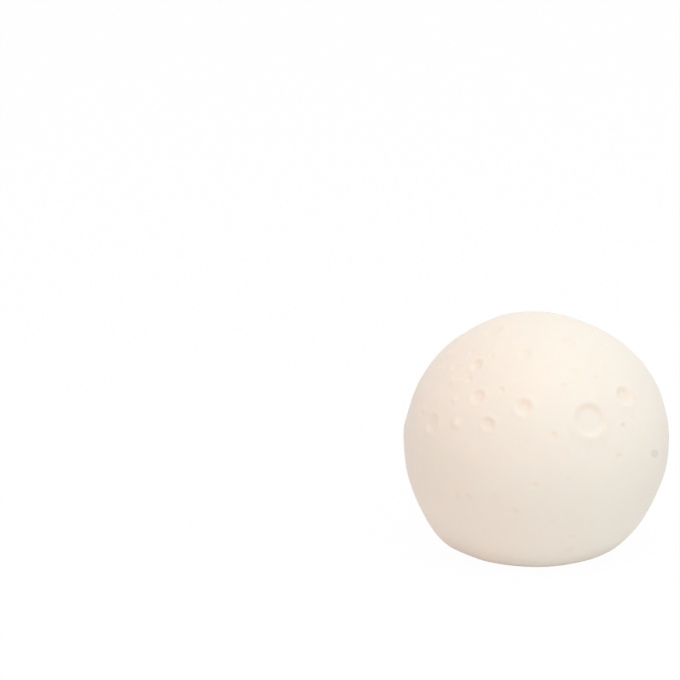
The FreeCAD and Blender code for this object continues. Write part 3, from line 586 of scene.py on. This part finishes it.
def shade_section(settings):
    """The ball's section from its outer pole round to its inner one, and how much it takes craters."""
    middle = BALL_CENTRE.z
    reach = BALL_RADIUS - settings.foot_round
    drop = middle - settings.foot_round
    foot = math.sqrt(reach ** 2 - drop ** 2)
    tangent = math.degrees(math.atan2(-drop, foot))
    inner = BALL_RADIUS - settings.wall
    lip_angle = math.degrees(math.asin((LIP_TOP - middle) / inner))
    edge = 0.4 * MM
    edge_steps = 4
    foot_steps = 10
    outside = arc((0, middle), BALL_RADIUS, 90, tangent, OUTSIDE_STEPS)
    under = arc((foot, settings.foot_round), settings.foot_round, tangent, -90, foot_steps)[1:]
    under += arc((RECESS_RADIUS + edge, edge), edge, -90, -180, edge_steps)
    under += [(RECESS_RADIUS, RECESS_HEIGHT)]
    under += arc((NECK_RADIUS + edge, RECESS_HEIGHT + edge), edge, -90, -180, edge_steps)
    under += [(NECK_RADIUS, LIP_TOP)]
    inside = arc((0, middle), inner, lip_angle, 90, INSIDE_STEPS)
    # The craters fade out over the foot.
    weights = [1.0] * len(outside) + [0.0] * (len(under) + len(inside))
    for step in range(foot_steps):
        weights[len(outside) + step] = 1 - (step + 1) / foot_steps
    section = outside + under + inside
    section[0] = (0, section[0][1])
    section[-1] = (0, section[-1][1])
    return section, weights


def crater_points(settings):
    """A cloud of points, one for each swell and crater, with what crater_shaper reads of each.

    That is its width, its depth, the height of its rim, how far it wipes out what is below it (cover),
    and how much painted shade it takes (tint). A swell is a crater of negative depth.
    """
    rows = [(lon, lat, width, -height, 0.0, 0.0, 0.0) for lon, lat, width, height in SWELLS]
    pick = random.Random(settings.seed)
    taken = list(FRONT_CRATERS + BACK_CRATERS)
    wanted = len(taken) + SMALL_BACK_CRATERS
    # For each mm of the widths of two craters, the angle that has to lie between their middles.
    spacing = 1.3 * MM / (2 * SPHERE_RADIUS)
    while len(taken) < wanted:
        longitude = pick.uniform(100, 260)
        latitude = math.degrees(math.asin(pick.uniform(-0.62, 0.97)))
        width = pick.uniform(1.8, 5.2)
        way = direction(longitude, latitude)
        if all(way.angle(direction(*other[:2])) > (width + other[2]) * spacing for other in taken):
            taken.append((longitude, latitude, width, pick.uniform(0.5, 1.0)))
    # In mm: a wider crater is deeper and has a higher rim. A shallow one takes less painted shade.
    for longitude, latitude, width, share in taken:
        depth = share * (0.2 + 0.12 * width - 0.003 * width ** 2)
        rim = depth * (0.2 + 0.025 * width)
        rows.append((longitude, latitude, width, depth, rim, 1.0, min(share * 1.6, 1.0)))
    cloud = bpy.data.meshes.new("craters")
    places = [BALL_CENTRE + BALL_RADIUS * direction(*row[:2]) for row in rows]
    cloud.from_pydata([tuple(p) for p in places], [], [])
    columns = (("width", MM), ("depth", MM), ("rim", MM), ("cover", 1), ("tint", 1))
    for column, (name, unit) in enumerate(columns, start=2):
        values = [row[column] * unit for row in rows]
        cloud.attributes.new(name, "FLOAT", "POINT").data.foreach_set("value", values)
    return cloud


def crater_shaper(settings, craters):
    """Press each crater of a cloud into the ball in turn, so that a later one cuts an earlier one."""
    t = Shaper(
        "press_craters",
        {"Floor Share": settings.floor_share, "Rim Spread": 1.55, "Relief": settings.relief},
        {"Craters": craters},
    )
    given = t.given
    cloud = t.node("GeometryNodeObjectInfo", {"Object": given["Craters"]})["Geometry"]
    count = t.node("GeometryNodeAttributeDomainSize", {"Geometry": cloud})["Point Count"]
    start = t.store(given["Geometry"], "height", 0.0)
    start = t.store(start, "hollow", 0.0)
    loop_in = t.node("GeometryNodeRepeatInput")
    loop_out = t.node("GeometryNodeRepeatOutput")
    loop_in.node.pair_with_output(loop_out.node)
    t.tree.links.new(count.socket, loop_in.node.inputs["Iterations"])
    t.tree.links.new(start.socket, loop_in.node.inputs["Geometry"])
    turn = loop_in["Iteration"]

    def of_crater(value, kind="FLOAT"):
        inputs = {"Geometry": cloud, "Value": value, "Index": turn}
        return t.node("GeometryNodeSampleIndex", inputs, data_type=kind)["Value"]

    position = t.node("GeometryNodeInputPosition")["Position"]
    middle = of_crater(position, "FLOAT_VECTOR")
    away = t.vector("DISTANCE", position, middle)
    # The reach is 0 in the middle of a crater and 1 at its edge. A wide crater has a broader floor
    # than a narrow one, and only its wall takes painted shade.
    half_width = of_crater(t.attribute("width")) * 0.5
    narrow = 1 - t.ease(half_width, 3.5 * MM, 6 * MM)
    reach = away / half_width
    cover = of_crater(t.attribute("cover"))
    floor = given["Floor Share"] * cover * (1.6 - 0.6 * narrow)
    bowl = 1 - t.ease(reach, floor, 1.0)
    wall = t.ease(reach, floor * 0.9, 0.8) * (1 - t.ease(reach, 0.85, 1.05))
    # Painted shade: the part of each crater up and to the right, whose wall faces away from the light,
    # takes the colour.
    side = t.vector("DOT_PRODUCT", position - middle, SHADED_CRATER_SIDE)
    shaded_side = t.ease(side / half_width, -0.7, 0.8)
    ring = t.ease(reach, 0.72, 1.0) * (1 - t.ease(reach, 1.0, given["Rim Spread"]))
    flat = (1 - t.ease(reach, 0.9, 1.2)) * cover
    height = t.attribute("height") * (1 - flat)
    height = height - bowl * of_crater(t.attribute("depth")) + ring * of_crater(t.attribute("rim"))
    # How much painted shade this crater puts on the vinyl.
    tint = (bowl * narrow * 0.55 + wall * 0.5) * shaded_side * of_crater(t.attribute("tint"))
    hollow = t.attribute("hollow") * (1 - flat) + tint
    pressed = t.store(loop_in["Geometry"], "hollow", hollow)
    pressed = t.store(pressed, "height", height)
    t.tree.links.new(pressed.socket, loop_out.node.inputs["Geometry"])

    outward = t.vector("NORMALIZE", position - tuple(BALL_CENTRE))
    # The skin is livelier towards the upper left.
    split = t.node("ShaderNodeSeparateXYZ", {0: outward})
    busy = 0.35 + 0.75 * t.ease(split["Z"] * 0.8 - split["X"] * 0.6, 0.25, 0.9)
    short_lumps = t.noise(position, 5 * MM, 3.0, 0.6) - 0.5
    long_lumps = t.noise(position, 17 * MM, 1.0) - 0.5
    relief = (short_lumps * busy * 1.6 + long_lumps * 2.0) * given["Relief"]
    lift = (t.attribute("height") + relief) * t.attribute("weight")
    inputs = {"Geometry": loop_out["Geometry"], "Offset": outward * lift}
    t.end(t.node("GeometryNodeSetPosition", inputs)["Geometry"])
    return t


class MOONLAMP_OT_shade(bpy.types.Operator):
    """Make the vinyl ball with its craters"""

    bl_idname = "moonlamp.shade"
    bl_label = "Vinyl ball"

    def execute(self, context):
        settings = context.scene.moonlamp_shade
        cloud = bpy.data.objects.new("craters", crater_points(settings))
        context.scene.collection.objects.link(cloud)
        section, weights = shade_section(settings)
        blank = turned_mesh("ball_blank", section, BALL_FACETS, weights)
        shade = crater_shaper(settings, cloud).grow("vinyl_ball", blank, vinyl(settings))
        bpy.data.objects.remove(cloud)
        smooth(shade.data, BALL_SHARP_ANGLE)
        settle(shade, "lamp", "vinyl", "moon_shade")
        return {"FINISHED"}


def backdrop_share(tree):
    """1 for rays that see the stage itself: straight, mirrored or through glass."""
    path = tree.node("ShaderNodeLightPath")
    seen = tree.maths("MAXIMUM", path["Is Camera Ray"], path["Is Glossy Ray"])
    return tree.maths("MAXIMUM", seen, path["Is Transmission Ray"])


def floor_finish(settings):
    """A pale floor that looks white and keeps a faint shadow."""
    finish = Finish("stage_floor")
    paint = finish.node("ShaderNodeBsdfDiffuse", {"Color": (*settings.floor, 1)})["BSDF"]
    glow = finish.node("ShaderNodeEmission", {"Strength": 1.0})["Emission"]
    share = backdrop_share(finish) * SEEN_GLOW + FLOOR_GLOW
    both = finish.node("ShaderNodeMixShader", {0: share, 1: paint, 2: glow})[0]
    finish.node("ShaderNodeOutputMaterial", {"Surface": both})
    return finish.material


class MOONLAMP_OT_stage(bpy.types.Operator):
    """Make the camera, the floor and the light"""

    bl_idname = "moonlamp.stage"
    bl_label = "Camera, floor and light"

    def execute(self, context):
        settings = context.scene.moonlamp_stage
        self.make_camera(context, settings)
        mesh = bpy.data.meshes.new("floor")
        corners = [(x * FLOOR_HALF, y * FLOOR_HALF, 0) for x, y in ((-1, -1), (1, -1), (1, 1), (-1, 1))]
        mesh.from_pydata(corners, [], [(0, 1, 2, 3)])
        piece("floor", mesh, floor_finish(settings))
        self.make_light(context, settings)
        world = bpy.data.worlds.new("studio")
        world.use_nodes = True
        tree = Tree(world.node_tree)
        strength = backdrop_share(tree) * (1 - settings.sky) + settings.sky
        sky = tree.node("ShaderNodeBackground", {"Color": (1, 1, 1, 1), "Strength": strength})
        tree.node("ShaderNodeOutputWorld", {"Surface": sky["Background"]})
        context.scene.world = world
        context.scene.view_settings.view_transform = "Standard"
        return {"FINISHED"}

    def make_camera(self, context, settings):
        """The photograph's view: the lamp stands low and right in a square frame."""
        place = Vector(CAMERA_PLACE) * MM
        yaw, pitch, roll = (math.radians(a) for a in CAMERA_TURNS)
        data = bpy.data.cameras.new("camera")
        data.lens = settings.lens
        data.sensor_width = 36.0
        camera = bpy.data.objects.new("camera", data)
        upright = Matrix.Rotation(math.pi / 2 + pitch, 4, "X")
        turn = Matrix.Rotation(yaw, 4, "Z") @ upright @ Matrix.Rotation(roll, 4, "Z")
        camera.matrix_world = Matrix.Translation(place) @ turn
        context.scene.collection.objects.link(camera)
        context.scene.camera = camera

    def make_light(self, context, settings):
        """A square soft light that faces the ball."""
        data = bpy.data.lights.new("key", "AREA")
        data.energy = settings.key_power
        data.size = KEY_WIDTH
        light = bpy.data.objects.new("key", data)
        aim = (BALL_CENTRE - Vector(KEY_PLACE)).to_track_quat("-Z", "Y")
        light.matrix_world = Matrix.Translation(KEY_PLACE) @ aim.to_matrix().to_4x4()
        context.scene.collection.objects.link(light)


def moulded_plastic(name, colour, grain=0.45 * MM, rough=0.42):
    """Moulded plastic with a fine spark texture and faint flow marks."""
    finish = Finish(name)
    spark = finish.noise(finish.place, grain, 3.0, 0.55)
    flow = finish.noise(finish.place, 9 * MM, 2.0)
    shade = finish.mix(finish.ease(flow, 0.3, 0.75), colour, toned(colour, 0.93))
    return finish.surface({
        "Base Color": shade,
        "Roughness": rough + 0.2 * spark,
        "IOR": 1.5,
        "Normal": finish.bump(spark, 0.02 * MM, 0.5),
    })


def plated_metal(name, colour, grain=0.3 * MM, rough=0.24):
    """Plated metal with fine tool marks and a slight tarnish."""
    finish = Finish(name)
    marks = finish.noise(finish.place, grain, 4.0, 0.6)
    tarnish = finish.noise(finish.place, 3 * MM, 3.0)
    shade = finish.mix(finish.ease(tarnish, 0.35, 0.8), colour, toned(colour, 0.8))
    return finish.surface({
        "Base Color": shade,
        "Metallic": 1.0,
        "Roughness": rough + 0.18 * marks,
        "Normal": finish.bump(marks, 0.006 * MM, 0.4),
    })


def toned(colour, share):
    """A colour with all of its light times a share."""
    return tuple(c * share for c in colour)


def stroke(finish, start, end, width):
    """1 on a straight line that is drawn on the board."""
    a, b = (Vector((*p, 0)) * MM for p in (start, end))
    offset = finish.vector("MULTIPLY", finish.place, (1, 1, 0)) - a
    way = (b - a) / (b - a).length_squared
    share = finish.node("ShaderNodeClamp", {"Value": finish.vector("DOT_PRODUCT", offset, way)})[0]
    foot = finish.node("ShaderNodeVectorMath", {0: b - a, "Scale": share}, operation="SCALE")[0]
    away = finish.vector("DISTANCE", offset, foot)
    return 1 - finish.ease(away, width * 0.4 * MM, width * 0.6 * MM)


def strokes(finish, lines, width):
    """1 on any of several lines."""
    total = stroke(finish, *lines[0], width)
    for line in lines[1:]:
        total = finish.maths("MAXIMUM", total, stroke(finish, *line, width))
    return total


def board_finish(settings):
    """Green solder mask over copper lines, with printed outlines of the parts."""
    finish = Finish("board")
    weave = finish.noise(finish.place, 0.5 * MM, 2.0)
    copper = strokes(finish, BOARD_LINES, 0.9)
    print_marks = strokes(finish, BOARD_PRINT, 0.22)
    colour = finish.mix(0.25 * weave, settings.mask, toned(settings.mask, 0.7))
    colour = finish.mix(copper * 0.6, colour, (0.07, 0.33, 0.13))
    colour = finish.mix(print_marks * 0.95, colour, (0.85, 0.86, 0.82))
    return finish.surface({
        "Base Color": colour,
        "Roughness": 0.28 + 0.12 * weave,
        "Coat Weight": 0.4,
        "IOR": 1.5,
        "Normal": finish.bump(copper, 0.04 * MM, 0.7),
    })


def resistor_finish():
    """Tan lacquer with four colour bands round the body."""
    finish = Finish("resistor_paint")
    grain = finish.noise(finish.place, 0.4 * MM, 2.0)
    colour = finish.mix(grain, (0.62, 0.47, 0.29), (0.56, 0.42, 0.26))
    across = finish.along("Y")
    for place, band in RESISTOR_BANDS:
        away = finish.maths("ABSOLUTE", across - place * MM, 0.0)
        near = 1 - finish.ease(away, 0.13 * MM, 0.18 * MM)
        colour = finish.mix(near, colour, band)
    return finish.surface({"Base Color": colour, "Roughness": 0.3 + 0.1 * grain, "Coat Weight": 0.5})


def switch_finish(settings):
    """A folded tin-plated shell, and the dark base that its pins come out of."""
    finish = Finish("switch_shell")
    base = finish.ease(finish.along("Z"), BOARD_BOTTOM - 0.95 * MM, BOARD_BOTTOM - 0.9 * MM)
    marks = finish.noise(finish.place, 0.3 * MM, 4.0, 0.6)
    return finish.surface({
        "Base Color": finish.mix(base, settings.tin, (0.03, 0.025, 0.02)),
        "Metallic": 1 - base,
        "Roughness": 0.22 + 0.15 * marks + 0.25 * base,
        "Normal": finish.bump(marks, 0.006 * MM, 0.4),
    })


def cell_finish(settings):
    """Bright nickel-plated steel with a polished grain that runs round each cell."""
    finish = Finish("cell_steel")
    grain = finish.noise(finish.place, 0.16 * MM, 3.0, 0.7)
    haze = finish.noise(finish.place, 4 * MM, 2.0)
    return finish.surface({
        "Base Color": finish.mix(haze, settings.steel, toned(settings.steel, 0.86)),
        "Metallic": 1.0,
        "Roughness": 0.16 + 0.14 * grain,
        "Normal": finish.bump(grain, 0.004 * MM, 0.4),
    })


def led_finish():
    """Clear epoxy, a little milky."""
    finish = Finish("led_epoxy")
    cloud = finish.noise(finish.place, 1.2 * MM, 2.0)
    return finish.surface({
        "Base Color": finish.mix(cloud, (0.97, 0.96, 0.88), (0.93, 0.92, 0.84)),
        "Roughness": 0.06 + 0.05 * cloud,
        "Transmission Weight": 0.85,
        "IOR": 1.52,
    })


# What makes the finish of each slot of the record.
FINISHES = {
    "housing_plastic": lambda s: moulded_plastic("housing_plastic", s.housing),
    "door_plastic": lambda s: moulded_plastic("door_plastic", toned(s.housing, 1.01)),
    "knob_plastic": lambda s: moulded_plastic("knob_plastic", s.knob, 0.3 * MM, 0.36),
    "switch_plastic": lambda s: moulded_plastic("switch_plastic", toned(s.knob, 0.7), 0.3 * MM, 0.36),
    "screw_steel": lambda s: plated_metal("screw_steel", s.steel),
    "contact_nickel": lambda s: plated_metal("contact_nickel", s.nickel, 0.25 * MM, 0.2),
    "tinned_wire": lambda s: plated_metal("tinned_wire", s.tin, 0.2 * MM, 0.26),
    "cell_steel": cell_finish,
    "switch_shell": switch_finish,
    "board": board_finish,
    "led_epoxy": lambda s: led_finish(),
    "resistor_paint": lambda s: resistor_finish(),
}
MADE = {}


def finish_of(slot):
    """The material of a slot, made once."""
    if slot not in MADE:
        MADE[slot] = FINISHES[slot](bpy.context.scene.moonlamp_parts)
    return MADE[slot]


def paint_nodes(*names):
    """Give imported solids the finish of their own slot."""
    slots = {row["node"]: row["material_slot"] for row in frame["record"]["subparts"]}
    for name in names:
        node = frame["nodes"][name]
        node.data.materials.clear()
        node.data.materials.append(finish_of(slots[name]))


def softened(name, body, slot, node_name, width):
    """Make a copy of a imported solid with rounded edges, which takes that solid's place."""
    form = bmesh.new()
    form.from_mesh(frame["nodes"][node_name].data)
    bmesh.ops.remove_doubles(form, verts=form.verts, dist=WELD)
    flat = math.radians(0.5)
    bmesh.ops.dissolve_limit(form, angle_limit=flat, verts=form.verts, edges=form.edges)
    limit = math.radians(SHARP_ANGLE)
    sharp = [e for e in form.edges if len(e.link_faces) == 2 and e.calc_face_angle() > limit]
    bmesh.ops.bevel(form, geom=sharp, offset=width, segments=2, profile=0.5, affect="EDGES")
    bmesh.ops.triangulate(form, faces=form.faces)
    bmesh.ops.remove_doubles(form, verts=form.verts, dist=WELD)
    mesh = bpy.data.meshes.new(name)
    form.to_mesh(mesh)
    form.free()
    mesh.materials.clear()
    made = piece(name, mesh, finish_of(slot))
    smooth(mesh)
    settle(made, body, slot, node_name)


def cloud_of(places):
    """Points with a turn about the X axis each: (x, y, z, turn in degrees), in metres."""
    mesh = bpy.data.meshes.new("places")
    mesh.from_pydata([tuple(p[:3]) for p in places], [], [])
    turns = [math.radians(p[3]) for p in places]
    mesh.attributes.new("turn", "FLOAT", "POINT").data.foreach_set("value", turns)
    cloud = bpy.data.objects.new("places", mesh)
    bpy.context.scene.collection.objects.link(cloud)
    return cloud


def turned_parts(
    name, body, slot, section, places, cross=None, thread=(1.0, 0.0), weights=None, nodes=()
):
    """Turned parts on every place: threaded where weighted, with a cross cut in the top at height 0.

    The section, cross (length, width, depth) and thread (pitch, depth) are in mm, and the places in
    metres. The parts are scaled down as they are placed.
    """
    length, width, depth = cross or (1.0, 1.0, 0.0)
    cloud = cloud_of(places)
    sizes = {"Pitch": thread[0], "Thread": thread[1], "Length": length, "Width": width, "Depth": depth}
    t = Shaper(name, sizes, {"Places": cloud})
    given = t.given
    position = t.node("GeometryNodeInputPosition")["Position"]
    split = t.node("ShaderNodeSeparateXYZ", {0: position})
    angle = t.maths("ARCTAN2", split["Y"], split["X"])
    phase = t.maths("FRACT", split["Z"] / given["Pitch"] - angle / math.tau, 0.0)
    crest = t.maths("ABSOLUTE", phase * 2 - 1, 0.0)
    outward = t.vector("NORMALIZE", t.vector("MULTIPLY", position, (1, 1, 0)))
    groove = outward * ((crest - 1) * given["Thread"] * t.attribute("weight"))
    inputs = {"Geometry": given["Geometry"], "Offset": groove}
    made = t.node("GeometryNodeSetPosition", inputs)["Geometry"]
    # The second arm is a little taller, so that no two faces of the arms lie in one plane.
    if cross:
        for long_side, short_side, share in (("Length", "Width", 2.0), ("Width", "Length", 2.03)):
            extent = t.node("ShaderNodeCombineXYZ", {
                "X": given[long_side], "Y": given[short_side], "Z": given["Depth"] * share
            })[0]
            arm = t.node("GeometryNodeMeshCube", {"Size": extent})["Mesh"]
            inputs = {"Mesh 1": made, "Mesh 2": arm}
            made = t.node("GeometryNodeMeshBoolean", inputs, operation="DIFFERENCE")[0]
    points = t.node("GeometryNodeObjectInfo", {"Object": given["Places"]})["Geometry"]
    turn = t.node("ShaderNodeCombineXYZ", {"X": t.attribute("turn")})[0]
    inputs = {"Points": points, "Instance": made, "Rotation": turn, "Scale": (MM, MM, MM)}
    t.end(t.node("GeometryNodeInstanceOnPoints", inputs)["Instances"])
    blank = turned_mesh(f"{name}_blank", section, SMALL_FACETS, weights or [0.0] * len(section))
    result = t.grow(name, blank, finish_of(slot))
    bpy.data.objects.remove(cloud)
    smooth(result.data)
    settle(result, body, slot, *nodes)
    return result


def around(radius, angles, z):
    """Upright places on a circle about the lamp's axis. The radius is in mm, z in metres."""
    spots = [(math.cos(math.radians(a)), math.sin(math.radians(a))) for a in angles]
    return [(radius * MM * x, radius * MM * y, z, 0) for x, y in spots]


def screw_section(head, height, shank, length):
    """Half of a pan-head screw from the middle of its head down to its tip, and its thread."""
    bend = height * 0.55
    edge = 0.08
    top = [(0, 0)] + arc((head - bend, -bend), bend, 90, 0, 6)
    top += [(head, edge - height), (head - edge, -height), (shank, -height)]
    # The thread starts below the head and ends above the tip, in steps of about a tenth of a turn.
    steps = int(length / 0.085)
    start, end = height + 0.3, height + length - 0.5
    run = [(shank, -start - (end - start) * i / steps) for i in range(steps + 1)]
    tip = shank * 0.55
    section = top + run + [(tip, -height - length), (0, -height - length)]
    weights = [0.0] * len(top) + [1.0] * len(run) + [0.0, 0.0]
    return section, weights


class MOONLAMP_OT_plastics(bpy.types.Operator):
    """Make the module's moulded parts and the raised words beside the knob"""

    bl_idname = "moonlamp.plastics"
    bl_label = "Module plastics"

    def execute(self, context):
        settings = context.scene.moonlamp_parts
        edge = settings.rounding
        softened("module_housing", "lamp", "housing_plastic", "base_housing", edge)
        softened("module_lid", "lamp", "housing_plastic", "housing_cover", edge)
        softened("cell_door", "battery_door", "door_plastic", "battery_door", edge)
        softened("finger_knob", "switch_slider", "knob_plastic", "switch_knob", edge * 0.45)
        for word, x in LEGENDS:
            self.add_word(context, word, x, settings.legend)
        return {"FINISHED"}

    def add_word(self, context, word, x, height):
        """A raised word on the module's underside, read from below."""
        curve = bpy.data.curves.new(word, "FONT")
        curve.body = word
        curve.size = height
        curve.extrude = LEGEND_RELIEF * MM
        curve.align_x, curve.align_y = "CENTER", "CENTER"
        seed = bpy.data.objects.new(word, curve)
        context.scene.collection.objects.link(seed)
        evaluated = seed.evaluated_get(context.evaluated_depsgraph_get())
        mesh = bpy.data.meshes.new_from_object(evaluated)
        bpy.data.objects.remove(seed)
        place = Matrix.Translation((x * MM, SWITCH_ROW * MM, HOUSING_LOW.z))
        mesh.transform(place @ Matrix.Rotation(math.pi, 4, "X"))
        form = bmesh.new()
        form.from_mesh(mesh)
        bmesh.ops.remove_doubles(form, verts=form.verts, dist=WELD / 10)
        form.to_mesh(mesh)
        form.free()
        made = piece(f"word_{word.lower()}", mesh, finish_of("knob_plastic"))
        settle(made, "lamp", "knob_plastic")


class MOONLAMP_OT_screws(bpy.types.Operator):
    """Make the screws of the lid, the board and the battery door"""

    bl_idname = "moonlamp.screws"
    bl_label = "Screws"

    def execute(self, context):
        settings = context.scene.moonlamp_parts
        thread = (settings.pitch, settings.thread)
        section, weights = screw_section(*SMALL_SCREW)
        common = dict(cross=SMALL_CROSS, thread=thread, weights=weights)
        places = around(LID_SCREW_CIRCLE, CELL_ANGLES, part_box("cover_screws")[1].z)
        turned_parts(
            "lid_screws", "lamp", "screw_steel", section, places, nodes=("cover_screws",), **common
        )
        places = around(BOARD_SCREW_CIRCLE, BOARD_SCREW_ANGLES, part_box("board_screws")[1].z)
        turned_parts(
            "circuit_screws", "lamp", "screw_steel", section, places, nodes=("board_screws",), **common
        )
        section, weights = screw_section(*DOOR_SCREW)
        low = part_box("door_screw")[0].z
        turned_parts(
            "captive_screw", "door_screw", "screw_steel", section, [(0, 0, low, 180)],
            cross=DOOR_CROSS, thread=thread, weights=weights, nodes=("door_screw",)
        )
        paint_nodes("screw_retainer")
        return {"FINISHED"}


class MOONLAMP_OT_battery(bpy.types.Operator):
    """Make the button cells and their contacts"""

    bl_idname = "moonlamp.battery"
    bl_label = "Cells and contacts"

    def execute(self, context):
        # Half of a cell in mm, from the middle of its can, down its side and in to its cap.
        section = [(0, 0)] + arc((5.35, -0.45), 0.45, 90, 0, 5)
        section += arc((5.45, -4.55), 0.35, 0, -90, 5)
        section += [(5.2, -4.9), (5.2, -4.72), (4.9, -4.72)] + arc((4.65, -5.15), 0.25, 0, -90, 4)
        section += [(0, -5.4)]
        # The cells are in series, so the middle one stands the other way up.
        for index, spot in enumerate(around(CELL_CIRCLE, CELL_ANGLES, 0)):
            node = f"button_cell_{index + 1}"
            low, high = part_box(node)
            cap_down = index == 1
            place = (spot[0], spot[1], high.z if cap_down else low.z, 0 if cap_down else 180)
            turned_parts(
                f"cell_{index + 1}", "lamp", "cell_steel", section, [place],
                cross=PLUS_SIGN, nodes=(node,)
            )
        edge = 0.07 * MM
        softened("door_strip", "battery_door", "contact_nickel", "door_contact", edge)
        softened("bridge_strip", "lamp", "contact_nickel", "contact_bridge", edge)
        softened("negative_strip", "lamp", "contact_nickel", "contact_negative", edge)
        softened("positive_leaf", "lamp", "contact_nickel", "contact_positive", edge)
        return {"FINISHED"}


class MOONLAMP_OT_circuit(bpy.types.Operator):
    """Make the board with its solder joints, LED, resistor and switch"""

    bl_idname = "moonlamp.circuit"
    bl_label = "Board"

    def execute(self, context):
        softened("green_board", "lamp", "board", "circuit_board", 0.08 * MM)
        softened("switch_box", "lamp", "switch_shell", "switch_case", 0.15 * MM)
        softened("switch_stem", "switch_slider", "switch_plastic", "switch_lever", 0.12 * MM)
        softened("led_body", "lamp", "led_epoxy", "led_lens", 0.12 * MM)
        self.add_resistor()
        # Half of a solder joint in mm: a cone that curves out over its ring of copper.
        joint = [(0, 0.62), (0.2, 0.62), (0.34, 0.5), (0.42, 0.3), (0.6, 0.12), (0.85, 0.0), (0, 0)]
        top = [(x, y, BOARD_TOP, 0) for x, y in JOINTS_ON_TOP]
        under = [(x, y, BOARD_BOTTOM, 180) for x, y in JOINTS_UNDER]
        places = [(x * MM, y * MM, z, turn) for x, y, z, turn in top + under]
        turned_parts("solder_joints", "lamp", "tinned_wire", joint, places)
        self.add_led_cup()
        paint_nodes("led_leads", "resistor_leads", "switch_terminals")
        return {"FINISHED"}

    def add_led_cup(self):
        """The cup inside the LED with its yellow phosphor, and the tops of the two leads."""
        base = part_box("led_lens")[0].z
        cup = [(0, 0.35), (0.5, 0.35), (0.85, 0.8), (1.0, 0.8), (0.7, 0.0), (0, 0)]
        turned_parts("led_cup", "lamp", "tinned_wire", cup, [(0, 0, base + 2.0 * MM, 0)])
        fill = [(0, 0.86), (0.4, 0.83), (0.8, 0.74), (0.5, 0.35), (0, 0.35)]
        glow = turned_parts("led_phosphor", "lamp", "led_epoxy", fill, [(0, 0, base + 2.02 * MM, 0)])
        glow.data.materials.clear()
        glow.data.materials.append(moulded_plastic("phosphor", (0.90, 0.72, 0.10), 0.1 * MM, 0.5))
        post = [(0, 0), (0.3, 0), (0.3, -2.0), (0, -2.0)]
        spots = [(side * LED_LEAD * MM, 0, base + 2.1 * MM, 0) for side in (-1, 1)]
        turned_parts("led_posts", "lamp", "tinned_wire", post, spots)

    def add_resistor(self):
        """The resistor's body, thicker over its end caps."""
        low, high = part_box("resistor_body")
        half = (high.y - low.y) / 2 / MM
        thick = (high.z - low.z) / 2 / MM
        neck = thick - 0.14
        bend = 0.25
        end = [(0, 0)] + arc((thick - bend, -bend), bend, 90, 0, 4) + [(thick, -0.62), (neck, -0.9)]
        section = end + [(x, -2 * half - z) for x, z in reversed(end)]
        mesh = turned_mesh("resistor", section, SMALL_FACETS)
        middle = (low + high) / 2
        place = Matrix.Translation((middle.x, high.y, middle.z)) @ Matrix.Rotation(-math.pi / 2, 4, "X")
        mesh.transform(place @ Matrix.Scale(MM, 4))
        made = piece("banded_resistor", mesh, finish_of("resistor_paint"))
        smooth(mesh)
        settle(made, "lamp", "resistor_paint", "resistor_body")


class MOONLAMP_PT_looks(bpy.types.Panel):
    """The operators that dress the lamp"""

    bl_label = "Moon Lamp"
    bl_space_type = "VIEW_3D"
    bl_region_type = "UI"
    bl_category = "Moon Lamp"

    def draw(self, context):
        for operator in OPERATORS:
            self.layout.operator(operator.bl_idname)
        scene = context.scene
        for settings in (scene.moonlamp_shade, scene.moonlamp_parts, scene.moonlamp_stage):
            # The first two properties are every group's own type and name.
            for name in settings.bl_rna.properties.keys()[2:]:
                self.layout.prop(settings, name)


OPERATORS = (
    MOONLAMP_OT_stage,
    MOONLAMP_OT_shade,
    MOONLAMP_OT_plastics,
    MOONLAMP_OT_screws,
    MOONLAMP_OT_battery,
    MOONLAMP_OT_circuit,
)
CLASSES = (ShadeSettings, PartSettings, StageSettings, MOONLAMP_PT_looks) + OPERATORS


def register():
    for kind in CLASSES:
        bpy.utils.register_class(kind)
    bpy.types.Scene.moonlamp_shade = PointerProperty(type=ShadeSettings)
    bpy.types.Scene.moonlamp_parts = PointerProperty(type=PartSettings)
    bpy.types.Scene.moonlamp_stage = PointerProperty(type=StageSettings)


def unregister():
    del bpy.types.Scene.moonlamp_stage
    del bpy.types.Scene.moonlamp_parts
    del bpy.types.Scene.moonlamp_shade
    for kind in reversed(CLASSES):
        bpy.utils.unregister_class(kind)


def main():
    """Dress the lamp."""
    register()
    for operator in OPERATORS:
        group, name = operator.bl_idname.split(".")
        getattr(getattr(bpy.ops, group), name)()


if __name__ == "__main__":
    main()
